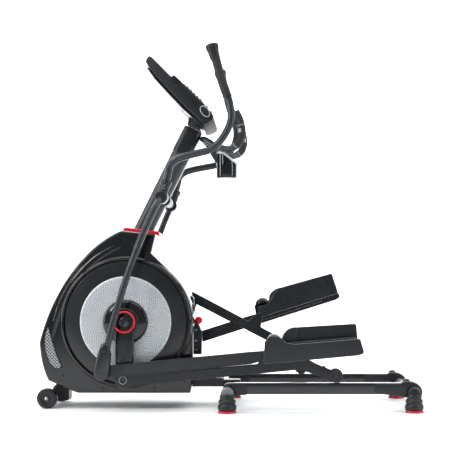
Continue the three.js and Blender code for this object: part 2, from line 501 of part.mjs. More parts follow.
for (const [sideName, side] of [["left", -1], ["right", 1]]) {
  const link = linkage(side > 0);

  // Crank arm: round hub, straight sides and a round end over the pin.
  const armHalf = 54;
  const arm = new THREE.Shape();
  arm.absarc(0, 0, armHalf + 8, -60 * RAD, 240 * RAD, false);
  arm.lineTo(-armHalf + 12, -CRANK_RADIUS + 20);
  arm.absarc(0, -CRANK_RADIUS, armHalf - 10, 160 * RAD, 380 * RAD, false);
  arm.lineTo(armHalf - 12, -CRANK_RADIUS + 20);
  const armBody = toSolid(slab(arm, side * ARM_LAYER[0], side * ARM_LAYER[1], 3))
    .add(toSolid(disc(14, side * (ARM_LAYER[1] - 4), side * (LEG_LAYER[0] - 2), 0, -CRANK_RADIUS, 0, 16)));
  const armMesh = toGeometry(armBody);
  add("crank_arm_" + sideName, place(armMesh, CRANK_X, CRANK_Z, side > 0 ? Math.PI : 0), BLACK, 0.25, 0.3);
  const redRing = disc(RED_RADIUS, side * RED_LAYER[0], side * RED_LAYER[1], CRANK_X, CRANK_Z, RED_BORE, 24);
  add("red_ring_" + sideName, redRing, RED, 0.35, 0);

  // Pedal leg: a tube that rises to a bend under the pedal and drops to the roller fork.
  const legHalf = 25;
  const bendAlong = 800;
  const bendUp = 50;
  const leg = new THREE.Shape();
  leg.absarc(0, 0, 34, 75 * RAD, 285 * RAD, false);
  leg.lineTo(60, -legHalf);
  leg.lineTo(bendAlong - 10, bendUp - legHalf + 6);
  leg.lineTo(LEG_LENGTH - 26, -14);
  leg.absarc(LEG_LENGTH, 0, 20, 225 * RAD, 400 * RAD, false);
  leg.lineTo(bendAlong + 44, bendUp + 12);
  leg.quadraticCurveTo(bendAlong + 20, bendUp + legHalf + 2, bendAlong - 10, bendUp + legHalf);
  leg.lineTo(LEG_PIN_ALONG + 34, LEG_PIN_UP - 26);
  leg.absarc(LEG_PIN_ALONG, LEG_PIN_UP, 25, 0, 180 * RAD, false);
  leg.lineTo(LEG_PIN_ALONG - 34, LEG_PIN_UP - 33);
  leg.lineTo(60, legHalf);
  const forkHalf = ROLLER_WIDTH / 2 + 1;
  const forkRadius = ROLLER_RADIUS + FORK_CLEARANCE;
  const forkLayer = [side * (RAIL_Y - forkHalf), side * (RAIL_Y + forkHalf)];
  const forkSlot = disc(forkRadius, ...forkLayer, LEG_LENGTH, 0, 0, 16);
  const legBore = [side * (LEG_LAYER[0] - 20), side * (LEG_LAYER[1] + 20)];
  const legBody = toSolid(slab(leg, side * LEG_LAYER[0], side * LEG_LAYER[1], 3))
    .subtract(toSolid(disc(15, ...legBore, 0, 0, 0, 16)))
    .subtract(toSolid(disc(9, ...legBore, LEG_PIN_ALONG, LEG_PIN_UP, 0, 16)))
    .subtract(toSolid(forkSlot));
  const legMesh = place(toGeometry(legBody), link.pin[0], link.pin[1], link.legAngle);
  add("pedal_leg_" + sideName, legMesh, BLACK, 0.35, 0.5);

  // Roller on the rail, held between the leg's two ears.
  const rollerIn = RAIL_Y - ROLLER_WIDTH / 2;
  const rollerOut = RAIL_Y + ROLLER_WIDTH / 2;
  const rollerProfile = [
    [7, rollerIn], [ROLLER_RADIUS - 2, rollerIn], [ROLLER_RADIUS, rollerIn + 2], [ROLLER_RADIUS, rollerOut - 2],
    [ROLLER_RADIUS - 2, rollerOut], [7, rollerOut], [7, rollerIn],
  ];
  const roller = turned(rollerProfile, 0, 0, 20);
  if (side < 0) roller.rotateZ(Math.PI);
  add("roller_" + sideName, roller.translate(link.roller[0], 0, link.roller[1]), DARK, 0.6, 0);

  // Foot arm: flat bar from the swing arm's lower pin to under the pedal.
  const footEnd = FOOT_LENGTH + 330;
  const footShape = footArmShape(27, 30, FOOT_LENGTH - 64, footEnd);
  const footArm = toSolid(slab(footShape, side * FOOT_LAYER[0], side * FOOT_LAYER[1], 3))
    .subtract(toSolid(disc(11, side * (FOOT_LAYER[0] - 20), side * (FOOT_LAYER[1] + 20), 0, 0, 0, 16)));
  add("foot_arm_" + sideName, place(toGeometry(footArm), link.swingPin[0], link.swingPin[1], link.footAngle),
    BLACK, 0.3, 0.5);

  // Pedal: a deep tray with a raised toe end and a tall inner guard, slotted underneath for the bars.
  const toe = FOOT_LENGTH + 2;
  const heel = FOOT_LENGTH + 428;
  const lifted = (points) => outline(points.map(([along, up]) => [along, up + PEDAL_LIFT]));
  const tray = lifted([
    [toe - 12, -58], [heel - 13, -61], [heel, -52], [heel - 10, 8],
    [toe + 86, 14], [toe + 52, 58], [toe + 22, 60], [toe, 30],
  ]);
  const guard = lifted([[toe + 60, 0], [toe + 134, 81], [heel - 12, 70], [heel - 6, 0]]);
  const slotOuter = side * (FOOT_LAYER[1] + 3);
  const slotInner = side * (LEG_LAYER[0] - 5);
  const footSlot = box(toe - 60, footEnd + 8, side * (FOOT_LAYER[0] - 3), slotOuter, -90, PEDAL_LIFT - 1);
  const legSlot = box(toe - 60, toe + 60, slotInner, slotOuter, -90, PEDAL_LIFT + 10);
  const bendSlot = box(toe, toe + 330, slotInner, side * (LEG_LAYER[1] + 4), -90, PEDAL_LIFT - 2);
  const pedal = toSolid(slab(tray, side * PEDAL_LAYER[0], side * PEDAL_LAYER[1], 5))
    .add(toSolid(slab(guard, side * (PEDAL_LAYER[0] + 1), side * (PEDAL_LAYER[0] + 12), 2)))
    .subtract(toSolid(footSlot)).subtract(toSolid(legSlot)).subtract(toSolid(bendSlot));
  add("pedal_" + sideName, place(toGeometry(pedal), link.swingPin[0], link.swingPin[1], link.footAngle),
    DARK, 0.45, 0);

  // Swing arm: pivot sleeve with a socket above, bowed lower tube, and an eye at the lower pin.
  const swingAngle = Math.atan2(PIVOT_X - link.swingPin[0], PIVOT_Z - link.swingPin[1]);
  const lowerY = (SWING_LAYER[0] + SWING_LAYER[1]) / 2;
  const lowerPath = [
    [0, PIVOT_Y, 0], [-14, PIVOT_Y + 54, -0.14 * SWING_LENGTH], [-21, lowerY - 16, -0.3 * SWING_LENGTH],
    [-24, lowerY - 9, -0.5 * SWING_LENGTH], [-17, lowerY, -0.78 * SWING_LENGTH], [0, lowerY, -SWING_LENGTH],
  ].map(([x, y, z]) => [x, side * y, z]);
  const sleeveIn = side * (PIVOT_Y - SLEEVE_HALF);
  const sleeveOut = side * (PIVOT_Y + SLEEVE_HALF);
  const pastSleeve = [2 * sleeveIn - sleeveOut, 2 * sleeveOut - sleeveIn];
  const lowerPin = disc(10, side * FOOT_LAYER[0], side * (SWING_LAYER[0] + 2), 0, -SWING_LENGTH, 0, 12);
  const lowerArm = toSolid(tube(lowerPath, 15, 12, 8))
    .add(toSolid(disc(30, sleeveIn, sleeveOut, 0, 0, 0, 20)))
    .add(toSolid(tube([[0, side * PIVOT_Y, 0], [0, side * PIVOT_Y, HANDLE_SEAT - 2]], 22, 1, 16)))
    .add(toSolid(disc(27, side * SWING_LAYER[0], side * SWING_LAYER[1], 0, -SWING_LENGTH, 0, 16)))
    .add(toSolid(lowerPin))
    .subtract(toSolid(disc(PIVOT_SHAFT_RADIUS + GAP, ...pastSleeve, 0, 0, 0, 16)))
    .subtract(toSolid(disc(capRadius + 2, sleeveOut, sleeveOut + side * 16, 0, 0, 0, 16)));
  const swingArm = place(toGeometry(lowerArm), PIVOT_X, PIVOT_Z, -swingAngle);
  add("swing_arm_" + sideName, swingArm, 0x24262a, 0.35, 0.6);

  // Handlebar: leans back from the pivot, then sweeps up to the grip. Drawn with the arm at its design lean.
  const design = 17.4 * RAD;
  const handlePath = [
    [HANDLE_SEAT * Math.sin(design), PIVOT_Y, HANDLE_SEAT * Math.cos(design)],
    [38, PIVOT_Y + 6, 138], [92, PIVOT_Y + 14, 176],
    [165, PIVOT_Y + 24, 194], [241, PIVOT_Y + 34, 223], [296, GRIP_Y, 297], [311, GRIP_Y, 368],
    [304, GRIP_Y, 415], [293, GRIP_Y, 447],
  ].map(([x, y, z]) => [x, side * y, z]);
  const swingBack = -(swingAngle - design);
  const handlebar = place(tube(handlePath, 17, 20, 8), PIVOT_X, PIVOT_Z, swingBack);
  add("handlebar_" + sideName, handlebar, GREY, 0.35, 0.7);
  const gripPath = [[291.5, 450.5], [276, 492], [250, 579], [231, 655]].map(([x, z]) => [x, side * GRIP_Y, z]);
  const flare = new THREE.LatheGeometry([[0, 0], [19, 0], [24, 34], [30, 58], [28, 68], [0, 74]]
    .map(([r, h]) => new THREE.Vector2(r, h)), 16);
  flare.rotateX(Math.PI / 2);
  place(flare, 240, 606, 0.26);
  flare.translate(0, side * GRIP_Y, 0);
  add("grip_" + sideName, place(join(tube(gripPath, 20.5, 6, 10), flare), PIVOT_X, PIVOT_Z, swingBack),
    RUBBER, 0.85, 0);
}

// ---- console, its bracket, the fixed handlebar and the cup holder, placed from the mast head ----
const headX = mastX(HEAD_Z);
const atHead = (points) => points.map(([x, z]) => [headX + x, HEAD_Z + z]);
const consoleOutline = outline(atHead([
  [97, 12], [97, 28], [45, 92], [-43, 178], [-78, 212], [-94, 205], [-184, 296], [-199, 292],
  [-207, 270], [-160, 206], [-111, 153], [-33, 70], [19, 24], [51, -10],
]));
add("console_housing", slab(consoleOutline, -CONSOLE_HALF, CONSOLE_HALF, 6), BLACK, 0.3, 0);
const screen = outline(atHead([[-96.5, 208.2], [-183, 295.8], [-180, 298.8], [-93.5, 211.2]]));
add("console_screen", slab(screen, -118, 118), DARK, 0.15, 0);
const keypad = outline(atHead([[92, 36], [46, 93.6], [-40, 177.6], [-38, 180.2], [48.4, 95.4], [94.4, 37.6]]));
add("console_keypad", slab(keypad, -130, 130), GREY, 0.4, 0);
add("console_bracket", slab(outline(atHead([
  [-62, 78], [-24, 42], [-30, 8.5], [34, -22], [14, 22], [-54, 87],
])), -44, 44, 2), DARK, 0.4, 0.6);

const fixedHalf = [
  [40, -55, 0], [50, -61, 34], [100, -95, 74], [165, -115, 112], [215, -85, 140], [224, -20, 146], [198, 50, 140],
];
const fixedPath = [...fixedHalf.slice(1).reverse().map(([x, z, y]) => [x, z, -y]), ...fixedHalf]
  .map(([x, z, y]) => [headX + x, y, HEAD_Z + z]);
add("fixed_handlebar", tube(fixedPath, 16, 30, 8), 0x33363a, 0.4, 0.5);

const cupX = headX + 150;
const cupBase = HEAD_Z - 236;
const cupTab = slab(outline(atHead([[56, -74], [70, -76], [112, -112], [112, -170], [56, -92]])), -18, 18);
const cupMouth = outline([
  [cupX - 20, cupBase + CUP_DEPTH + 40], [cupX - 20, cupBase + CUP_DEPTH - 2],
  [cupX + CUP_RADIUS + 30, cupBase + CUP_DEPTH - 76], [cupX + CUP_RADIUS + 30, cupBase + CUP_DEPTH + 40],
]);
function upright(profile, x, z) {
  const geometry = new THREE.LatheGeometry(profile.map(([r, h]) => new THREE.Vector2(r, h)), 20);
  return geometry.rotateX(Math.PI / 2).translate(x, 0, z);
}
const cupInner = CUP_RADIUS - CUP_WALL;
const cupWall = upright([
  [0, 0], [CUP_RADIUS - 8, 0], [CUP_RADIUS - 3, 5], [CUP_RADIUS, CUP_DEPTH], [0, CUP_DEPTH],
], cupX, cupBase);
const cupHollow = upright([
  [0, CUP_WALL + 1], [cupInner - 6, CUP_WALL + 1], [cupInner - 3, CUP_WALL + 5], [cupInner, CUP_DEPTH + 9],
  [0, CUP_DEPTH + 9],
], cupX, cupBase);
const cup = toSolid(cupWall).add(toSolid(cupTab)).subtract(toSolid(cupHollow))
  .subtract(toSolid(slab(cupMouth, -CUP_RADIUS - 30, CUP_RADIUS + 30)));
add("cup_holder", toGeometry(cup), BLACK, 0.35, 0);

export default trainer;
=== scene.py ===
# Elliptical trainer in its assembly order: floor frame, mast, drive housing, cranks, linkage, console.
import json
import math
import bmesh
import bpy
from mathutils import Matrix, Vector


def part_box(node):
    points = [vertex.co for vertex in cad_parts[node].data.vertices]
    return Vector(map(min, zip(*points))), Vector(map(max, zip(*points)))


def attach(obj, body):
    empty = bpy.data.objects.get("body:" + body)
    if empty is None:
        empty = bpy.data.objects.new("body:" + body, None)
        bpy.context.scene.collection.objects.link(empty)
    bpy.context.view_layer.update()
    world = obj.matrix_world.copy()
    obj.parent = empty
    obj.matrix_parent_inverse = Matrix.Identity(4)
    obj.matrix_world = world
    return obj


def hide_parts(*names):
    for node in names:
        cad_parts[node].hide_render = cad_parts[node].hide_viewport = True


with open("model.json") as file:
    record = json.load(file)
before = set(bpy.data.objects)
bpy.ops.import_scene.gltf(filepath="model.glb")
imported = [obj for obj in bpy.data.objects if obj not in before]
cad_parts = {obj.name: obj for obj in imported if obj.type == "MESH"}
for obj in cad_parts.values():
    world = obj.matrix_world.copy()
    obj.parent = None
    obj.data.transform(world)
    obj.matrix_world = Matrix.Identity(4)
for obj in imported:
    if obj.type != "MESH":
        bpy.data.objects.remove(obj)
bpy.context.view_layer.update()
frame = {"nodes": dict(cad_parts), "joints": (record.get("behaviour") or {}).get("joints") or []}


# ---- Studio ----
# A seamless sheet of white paper, bent up behind the machine, with soft boxes round it.
# The lens looks straight at the machine's left side from knee height.
def linear(code):
    """Turns an sRGB hex colour into the linear colour that a shader takes."""
    parts = [int(code[i:i + 2], 16) / 255 for i in (1, 3, 5)]
    return [*(c / 12.92 if c <= 0.04045 else ((c + 0.055) / 1.055) ** 2.4 for c in parts), 1.0]


def put(tree, kind, inputs=None, **settings):
    """Adds a node with its settings, and sets or links each input by its name or its place."""
    new = tree.nodes.new(kind)
    for key, value in settings.items():
        setattr(new, key, value)
    for key, value in (inputs or {}).items():
        if isinstance(value, bpy.types.NodeSocket):
            tree.links.new(value, new.inputs[key])
        else:
            new.inputs[key].default_value = value
    return new


def blank(name):
    """Starts an empty material and gives it with its node tree and its object coordinates."""
    made = bpy.data.materials.new(name)
    made.use_nodes = True
    made.node_tree.nodes.clear()
    return made, made.node_tree, put(made.node_tree, "ShaderNodeTexCoord").outputs["Object"]


def close(tree, **sockets):
    """Ends a material in a Principled shader whose sockets are given by name, with _ for a space."""
    shader = put(tree, "ShaderNodeBsdfPrincipled", {key.replace("_", " "): v for key, v in sockets.items()})
    put(tree, "ShaderNodeOutputMaterial", {"Surface": shader.outputs[0]})


def mixed(tree, factor, first, second):
    """Gives the colour between two hex colours, or colour sockets, by a factor."""
    ends = [linear(c) if isinstance(c, str) else c for c in (first, second)]
    return put(tree, "ShaderNodeMix", {0: factor, 6: ends[0], 7: ends[1]}, data_type="RGBA").outputs[2]


def spread(tree, value, low, high, start=0.3, end=0.7):
    """Gives a value stretched from start..end to low..high."""
    limits = {"Value": value, "From Min": start, "From Max": end, "To Min": low, "To Max": high}
    return put(tree, "ShaderNodeMapRange", limits).outputs[0]


def mesh_piece(name, verts_mm, faces, material, smooth_angle=32):
    """Makes a piece from millimetre corners and faces, with its faces turned outwards."""
    mesh = bpy.data.meshes.new(name)
    mesh.from_pydata([[c / 1000 for c in v] for v in verts_mm], [], faces)
    work = bmesh.new()
    work.from_mesh(mesh)
    bmesh.ops.remove_doubles(work, verts=work.verts, dist=2e-6)
    bmesh.ops.recalc_face_normals(work, faces=work.faces)
    work.to_mesh(mesh)
    work.free()
    mesh.materials.append(material)
    mesh.shade_smooth()
    mesh.set_sharp_from_angle(angle=math.radians(smooth_angle))
    piece = bpy.data.objects.new(name, mesh)
    bpy.context.scene.collection.objects.link(piece)
    return piece


paper, tree, where = blank("matt_backdrop_paper")
fibre = put(tree, "ShaderNodeTexNoise", {"Vector": where, "Scale": 60.0, "Detail": 3.0})
close(tree, Base_Color=mixed(tree, fibre.outputs["Fac"], "#fdfdfd", "#f6f7f8"), Roughness=0.85)
bend = 1500
sweep_line = [(-7000, 0), (3200, 0)]
sweep_line += [(3200 + bend * math.sin(a * math.pi / 24), bend - bend * math.cos(a * math.pi / 24)) for a in range(1, 13)]
sweep_line += [(3200 + bend, 7000)]
sweep_verts = [(x, y, z) for y, z in sweep_line for x in (-9000, 9000)]
sweep_faces = [(2 * i, 2 * i + 1, 2 * i + 3, 2 * i + 2) for i in range(len(sweep_line) - 1)]
mesh_piece("studio_sweep", sweep_verts, sweep_faces, paper)

world = bpy.data.worlds.new("studio_white")
bpy.context.scene.world = world
world.use_nodes = True
world.node_tree.nodes["Background"].inputs["Color"].default_value = (0.86, 0.94, 1, 1)
world.node_tree.nodes["Background"].inputs["Strength"].default_value = 0.34
for light_name, spot, aim, wide, deep, power in [
    ("ceiling_box", (0.0, 0.2, 4.6), (0, 0.2, 0), 9.0, 9.0, 420),
    ("backdrop_wash", (0.0, 2.4, 3.6), (0, 4.8, 1.2), 8.0, 1.4, 210),
    ("key_strip", (-2.6, -2.9, 2.6), (-0.3, 0, 0.7), 0.5, 2.2, 44),
    ("rear_strip", (3.2, -1.3, 1.5), (0.1, 0, 0.7), 0.4, 2.2, 30),
    ("front_strip", (-3.3, -0.9, 1.5), (-0.3, 0, 0.8), 0.4, 2.4, 42),
]:
    lamp = bpy.data.lights.new(light_name, "AREA")
    lamp.shape = "RECTANGLE"
    lamp.size = wide
    lamp.size_y = deep
    lamp.energy = power
    holder = bpy.data.objects.new(light_name, lamp)
    turn = (Vector(aim) - Vector(spot)).to_track_quat("-Z", "Y").to_matrix().to_4x4()
    holder.matrix_world = Matrix.Translation(spot) @ turn
    bpy.context.scene.collection.objects.link(holder)
bpy.context.scene.view_settings.view_transform = "Standard"

lens = bpy.data.cameras.new("side_lens")
lens.lens = 74.5
lens.shift_x = -0.0913
lens.shift_y = 0.1435
camera = bpy.data.objects.new("side_camera", lens)
camera.matrix_world = Matrix.Translation((0.1985, -4.44, 0.507)) @ Matrix.Rotation(math.pi / 2, 4, "X")
bpy.context.scene.collection.objects.link(camera)
bpy.context.scene.camera = camera


# ---- Floor frame ----
# A box beam, two round cross tubes and the transport wheel bracket, welded from steel tube.
# Powder coated satin black, which leaves a fine orange peel and holds a little dust.
def powder_coat(name, colour, dust, roughness=0.4):
    """Powder-coated steel. Its orange peel is about 1.5 mm across, drawn at 2 mm so that it shows."""
    made, tree, where = blank(name)
    peel = put(tree, "ShaderNodeTexNoise", {"Vector": where, "Scale": 1 / 0.002, "Detail": 2.0})
    handling = put(tree, "ShaderNodeTexNoise", {"Vector": where, "Scale": 1 / 0.09, "Detail": 5.0})
    bump = put(tree, "ShaderNodeBump", {"Height": peel.outputs["Fac"], "Strength": 0.15, "Distance": 0.0004})
    close(tree, Base_Color=mixed(tree, handling.outputs["Fac"], colour, dust), Normal=bump.outputs[0],
          Roughness=spread(tree, handling.outputs["Fac"], roughness - 0.07, roughness + 0.1),
          Specular_IOR_Level=0.35, Coat_Weight=0.2, Coat_Roughness=0.22)
    return made


AXES = {"Y": ((1, 0, 0), (0, 1, 0), (0, 0, 1)), "-Y": ((-1, 0, 0), (0, -1, 0), (0, 0, 1)),
        "Z": ((1, 0, 0), (0, 0, 1), (0, -1, 0)), "-X": ((0, 1, 0), (-1, 0, 0), (0, 0, 1))}


def lathe(name, profile, centre, axis, material, count=64, smooth_angle=32):
    """A turned piece. The profile holds (radius, distance along the axis) from axis to axis, or closes on itself."""
    first, along, second = (Vector(v) for v in (AXES[axis] if isinstance(axis, str) else axis))
    verts = []
    for r, h in profile:
        for i in range(count):
            a = 2 * math.pi * i / count
            point = Vector(centre) + r * math.cos(a) * first + r * math.sin(a) * second + h * along
            verts.append(tuple(point))
    faces = []
    for j in range(len(profile) - 1):
        for i in range(count):
            k = (i + 1) % count
            faces.append((j * count + i, j * count + k, (j + 1) * count + k, (j + 1) * count + i))
    return mesh_piece(name, verts, faces, material, smooth_angle)


def rounded(piece, width_mm, segments=3, angle=30):
    """Rounds a piece's sharp edges."""
    bevel = piece.modifiers.new("edges", "BEVEL")
    bevel.width = width_mm / 1000
    bevel.segments = segments
    bevel.limit_method = "ANGLE"
    bevel.angle_limit = math.radians(angle)
    return piece


def prism(name, outline, y0, y1, material, rounding=0, place=None):
    """A side-view outline pushed from y0 to y1, and turned and moved by place = (x, z, angle)."""
    x0, z0, angle = place or (0, 0, 0)
    c, s = math.cos(angle), math.sin(angle)
    verts = [(x0 + x * c - z * s, y, z0 + x * s + z * c) for y in (y0, y1) for x, z in outline]
    count = len(outline)
    faces = [tuple(range(count)), tuple(range(2 * count - 1, count - 1, -1))]
    faces += [(i, (i + 1) % count, count + (i + 1) % count, count + i) for i in range(count)]
    made = mesh_piece(name, verts, faces, material)
    return rounded(made, rounding) if rounding else made


def arc(x, z, radius, start, end, steps=12):
    """Points on an arc in the side view, with its angles in degrees."""
    turns = [math.radians(start + (end - start) * i / steps) for i in range(steps + 1)]
    return [(x + radius * math.cos(t), z + radius * math.sin(t)) for t in turns]


def own(piece, body, slot, *nodes):
    """Lets a piece ride its body and stand for its CAD nodes. Its slot is not used."""
    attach(piece, body)
    if nodes:
        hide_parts(*nodes)


def clothe(material, *node_names):
    """Gives CAD nodes that stay as they are their finish."""
    for node_name in node_names:
        frame["nodes"][node_name].data.materials.clear()
        frame["nodes"][node_name].data.materials.append(material)


def middle(node):
    """A CAD node's middle in millimetres."""
    low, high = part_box(node)
    return (low + high) * 500


def span(node):
    """A CAD node's lowest and highest corners in millimetres."""
    low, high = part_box(node)
    return low * 1000, high * 1000


black_steel = powder_coat("satin_black_powder_coat", "#15161a", "#212327")
clothe(black_steel, "main_beam", "frame_upright", "crank_housing")

tube_radius = 24
tube_wall = 3
for tube_name in ("middle_stabilizer", "rear_stabilizer"):
    low, high = span(tube_name)
    half = high.y
    bore = tube_radius - tube_wall
    profile = [(bore, -half), (tube_radius, -half), (tube_radius, half), (bore, half), (bore, -half)]
    at = (4 if tube_name.startswith("middle") else 817, 0, 82)
    own(lathe(tube_name + "_tube", profile, at, "Y", black_steel, 48), "frame", "black_painted_steel", tube_name)
weld_plate = [(-28, 74), (50, 74), (52, 78), (52, 118), (48, 120), (-28, 120)]
own(prism("middle_weld_bracket", weld_plate, -40, 40, black_steel, 3), "frame", "black_painted_steel")
wheel_x, wheel_z = middle("wheel_left").x, middle("wheel_left").z
bracket_line = arc(wheel_x, wheel_z, 26, 100, 262) + [(-744, 24), (-740.5, 40), (-740.5, 122), (-782, 122)]
bracket = prism("front_wheel_bracket", bracket_line, -38, 38, black_steel, 4)
own(bracket, "frame", "black_painted_steel", "front_stabilizer")
axle_line = [(0, -162), (6.4, -162), (6.6, -124), (18, -124), (20, -120), (20, 120), (18, 124), (6.6, 124),
             (6.4, 162), (0, 162)]
axle = lathe("front_axle_tube", axle_line, (wheel_x, 0, wheel_z), "Y", black_steel, 40)
own(axle, "frame", "black_painted_steel")


# ---- Rails ----
# Two box tubes that the pedal rollers run on, gloss coated, with moulded nylon covers on both ends.
# A bright band is painted along the top, standing in for the highlight that runs along it.
def track_coat(top_mm):
    """Gloss-coated steel with a painted highlight band along the top, 16 mm wide, and fine lengthwise scratches."""
    made, tree, where = blank("gloss_coated_track_steel")
    along = put(tree, "ShaderNodeMapping", {"Vector": where, "Scale": (1.5, 260.0, 260.0)})
    scratch = put(tree, "ShaderNodeTexNoise", {"Vector": along.outputs[0], "Scale": 4.0, "Detail": 4.0})
    split = put(tree, "ShaderNodeSeparateXYZ", {0: where})
    across = put(tree, "ShaderNodeMath", {0: split.outputs["Y"]}, operation="ABSOLUTE")
    off_line = put(tree, "ShaderNodeMath", {0: across.outputs[0], 1: 0.249}, operation="SUBTRACT")
    off = put(tree, "ShaderNodeMath", {0: off_line.outputs[0]}, operation="ABSOLUTE")
    band = spread(tree, off.outputs[0], 1.0, 0.0, 0.006, 0.010)
    high = spread(tree, split.outputs["Z"], 0.0, 1.0, (top_mm - 1.5) / 1000, (top_mm - 0.3) / 1000)
    # Painted highlight: the middle of the track's top face is made light where the highlight falls, broken up by the
    # scratches.
    painted_top_highlight = put(tree, "ShaderNodeMath", {0: band, 1: high}, operation="MULTIPLY")
    streak = put(tree, "ShaderNodeMath", {0: painted_top_highlight.outputs[0], 1: scratch.outputs["Fac"]}, operation="MULTIPLY")
    bump = put(tree, "ShaderNodeBump", {"Height": scratch.outputs["Fac"], "Strength": 0.1, "Distance": 0.0003})
    close(tree, Base_Color=mixed(tree, streak.outputs[0], "#141518", "#9a9ea3"), Normal=bump.outputs[0],
          Roughness=spread(tree, scratch.outputs["Fac"], 0.16, 0.34), Metallic=0.3, Coat_Weight=0.6,
          Coat_Roughness=0.1)
    return made


def moulded(name, colour, pale, roughness, grain_mm, depth=0.25, coat=0.0, coat_roughness=0.06):
    """Moulded plastic: a spark-eroded grain of the given size, with flow marks and handling sheen."""
    made, tree, where = blank(name)
    grain = put(tree, "ShaderNodeTexVoronoi", {"Vector": where, "Scale": 1000 / grain_mm})
    flow = put(tree, "ShaderNodeTexNoise", {"Vector": where, "Scale": 1 / 0.12, "Detail": 4.0, "Distortion": 0.6})
    bump = put(tree, "ShaderNodeBump", {"Height": grain.outputs["Distance"], "Strength": depth, "Distance": 0.0003})
    close(tree, Base_Color=mixed(tree, flow.outputs["Fac"], colour, pale), Normal=bump.outputs[0],
          Roughness=spread(tree, flow.outputs["Fac"], roughness - 0.04, roughness + 0.07),
          Specular_IOR_Level=0.3, Coat_Weight=coat, Coat_Roughness=coat_roughness)
    return made


def rounded_section(half_width, low, high, corner, steps=5):
    """A rounded rectangle, as (across, up) pairs about the middle."""
    points = []
    for side_y, side_z, start in ((1, 1, 0), (-1, 1, 90), (-1, -1, 180), (1, -1, 270)):
        cy = side_y * (half_width - corner)
        cz = high - corner if side_z > 0 else low + corner
        for i in range(steps + 1):
            a = math.radians(start + 90 * i / steps)
            points.append((cy + corner * math.cos(a), cz + corner * math.sin(a)))
    return points


def lofted(name, sections, material, smooth_angle=40, ends=True):
    """Skins a row of sections, each with as many corners, and closes both ends."""
    count = len(sections[0])
    verts = [tuple(v) for section in sections for v in section]
    faces = [tuple(range(count)), tuple(range(len(verts) - 1, len(verts) - count - 1, -1))] if ends else []
    for j in range(len(sections) - 1):
        for i in range(count):
            k = (i + 1) % count
            faces.append((j * count + i, j * count + k, (j + 1) * count + k, (j + 1) * count + i))
    return mesh_piece(name, verts, faces, material, smooth_angle)


rail_low, rail_high = span("rail_left")
rail_y = -middle("rail_left").y
rail_top = rail_high.z
rail_bottom = rail_low.z
track_steel = track_coat(rail_top)
nylon = moulded("fine_grain_black_nylon", "#121316", "#1c1e22", 0.36, 0.9, coat=0.3, coat_roughness=0.2)
for side, hand in ((-1, "left"), (1, "right")):
    def along_rail(rows):
        return [[(x, side * rail_y + y, z) for y, z in rounded_section(half, low, high, corner)]
                for x, low, high, half, corner in rows]
    track = lofted("track_" + hand, along_rail([(34, rail_bottom, rail_top, 22, 5), (792, rail_bottom, rail_top, 22, 5)]),
                   track_steel)
    own(track, "frame", "black_painted_steel", "rail_" + hand)
    # The rear cover leaves the track's top bare for the roller, then rises and drops over the cross tube.
    cover_rows = [(648, 84, 121, 25, 8), (654, 80, 124.6, 27, 9), (664, 79, 125.4, 28, 9), (764, 66, 125.4, 28.5, 9),
                  (772, 64, 131.6, 28.5, 9), (780, 63, 134, 28.5, 9), (796, 61, 134, 28.5, 9),
                  (818, 56, 131, 28.5, 9), (838, 56, 122, 28, 9), (851, 60, 109, 26, 9), (858, 70, 96, 19, 8)]
    own(lofted("track_cover_" + hand, along_rail(cover_rows), nylon, 60), "frame", "black_plastic")
    nose_rows = [(-16, 98, 108, 12, 4), (-12, 92, 116, 19, 7), (-4, 88, 122, 23.5, 8), (10, 72, 125.4, 25, 9),
                 (74, 72, 125.4, 25, 9), (86, 74, 125.2, 24, 8), (90, 78, 124.6, 23, 6)]
    own(lofted("track_nose_" + hand, along_rail(nose_rows), nylon, 60), "frame", "black_plastic")
    button = [(0, 11), (6, 10.4), (12, 8), (15.6, 4), (16.5, 0), (16.5, -6), (0, -6)]
    own(lathe("track_button_" + hand, button, (790, side * rail_y, 133), "Z", nylon, 40), "frame", "black_plastic")


# ---- Floor feet ----
# Four rubber levelling feet: a red pad, a ribbed black boot and a cap that holds the cross tube's end.
# The boot and pad are moulded rubber, and the cap is pushed on.
boot_rubber = moulded("moulded_black_rubber", "#101113", "#191a1d", 0.42, 1.2, depth=0.35, coat=0.25, coat_roughness=0.3)
red_plastic = moulded("moulded_red_abs", "#c4121f", "#d61d2b", 0.3, 1.0, depth=0.12, coat=0.5)
cap_grey = moulded("satin_grey_end_cap", "#5d6166", "#74787d", 0.34, 0.9, coat=0.3, coat_roughness=0.2)
pad_line = [(0, 0), (37, 0), (40.5, 1.5), (41.5, 4.5), (40, 8.5), (34, 11), (0, 11)]
boot_line = [(0, 9), (33, 9), (37, 11), (40, 15), (41.4, 21), (41, 29), (38.5, 36), (35.4, 39), (34.6, 41), (36.8, 43),
             (38, 47), (37.2, 53), (34, 58), (31.5, 60), (31, 62), (32.6, 64), (33, 68), (32, 74), (29, 80), (0, 82)]
cap_line = [(24.4, -34), (27.5, -34), (28.6, -31), (28.6, 2), (27.4, 8), (22, 12.5), (12, 14.6), (0, 15)]
for place_name in ("middle", "rear"):
    for side, hand in ((-1, "left"), (1, "right")):
        node = f"foot_{place_name}_{hand}"
        at = middle(node)
        ground = (at.x, at.y, 0)
        own(lathe("foot_pad_" + node, pad_line, ground, "Z", red_plastic), "frame", "red_plastic")
        own(lathe("foot_boot_" + node, boot_line, ground, "Z", boot_rubber, smooth_angle=50), "frame", "rubber", node)
        end = side * (span(place_name + "_stabilizer")[1].y)
        cap = lathe("tube_cap_" + node, [(0, -34)] + cap_line, (at.x, end, 82), "Y" if side > 0 else "-Y",
                    cap_grey if place_name == "middle" else nylon, 48)
        own(cap, "frame", "grey_plastic" if place_name == "middle" else "black_plastic")


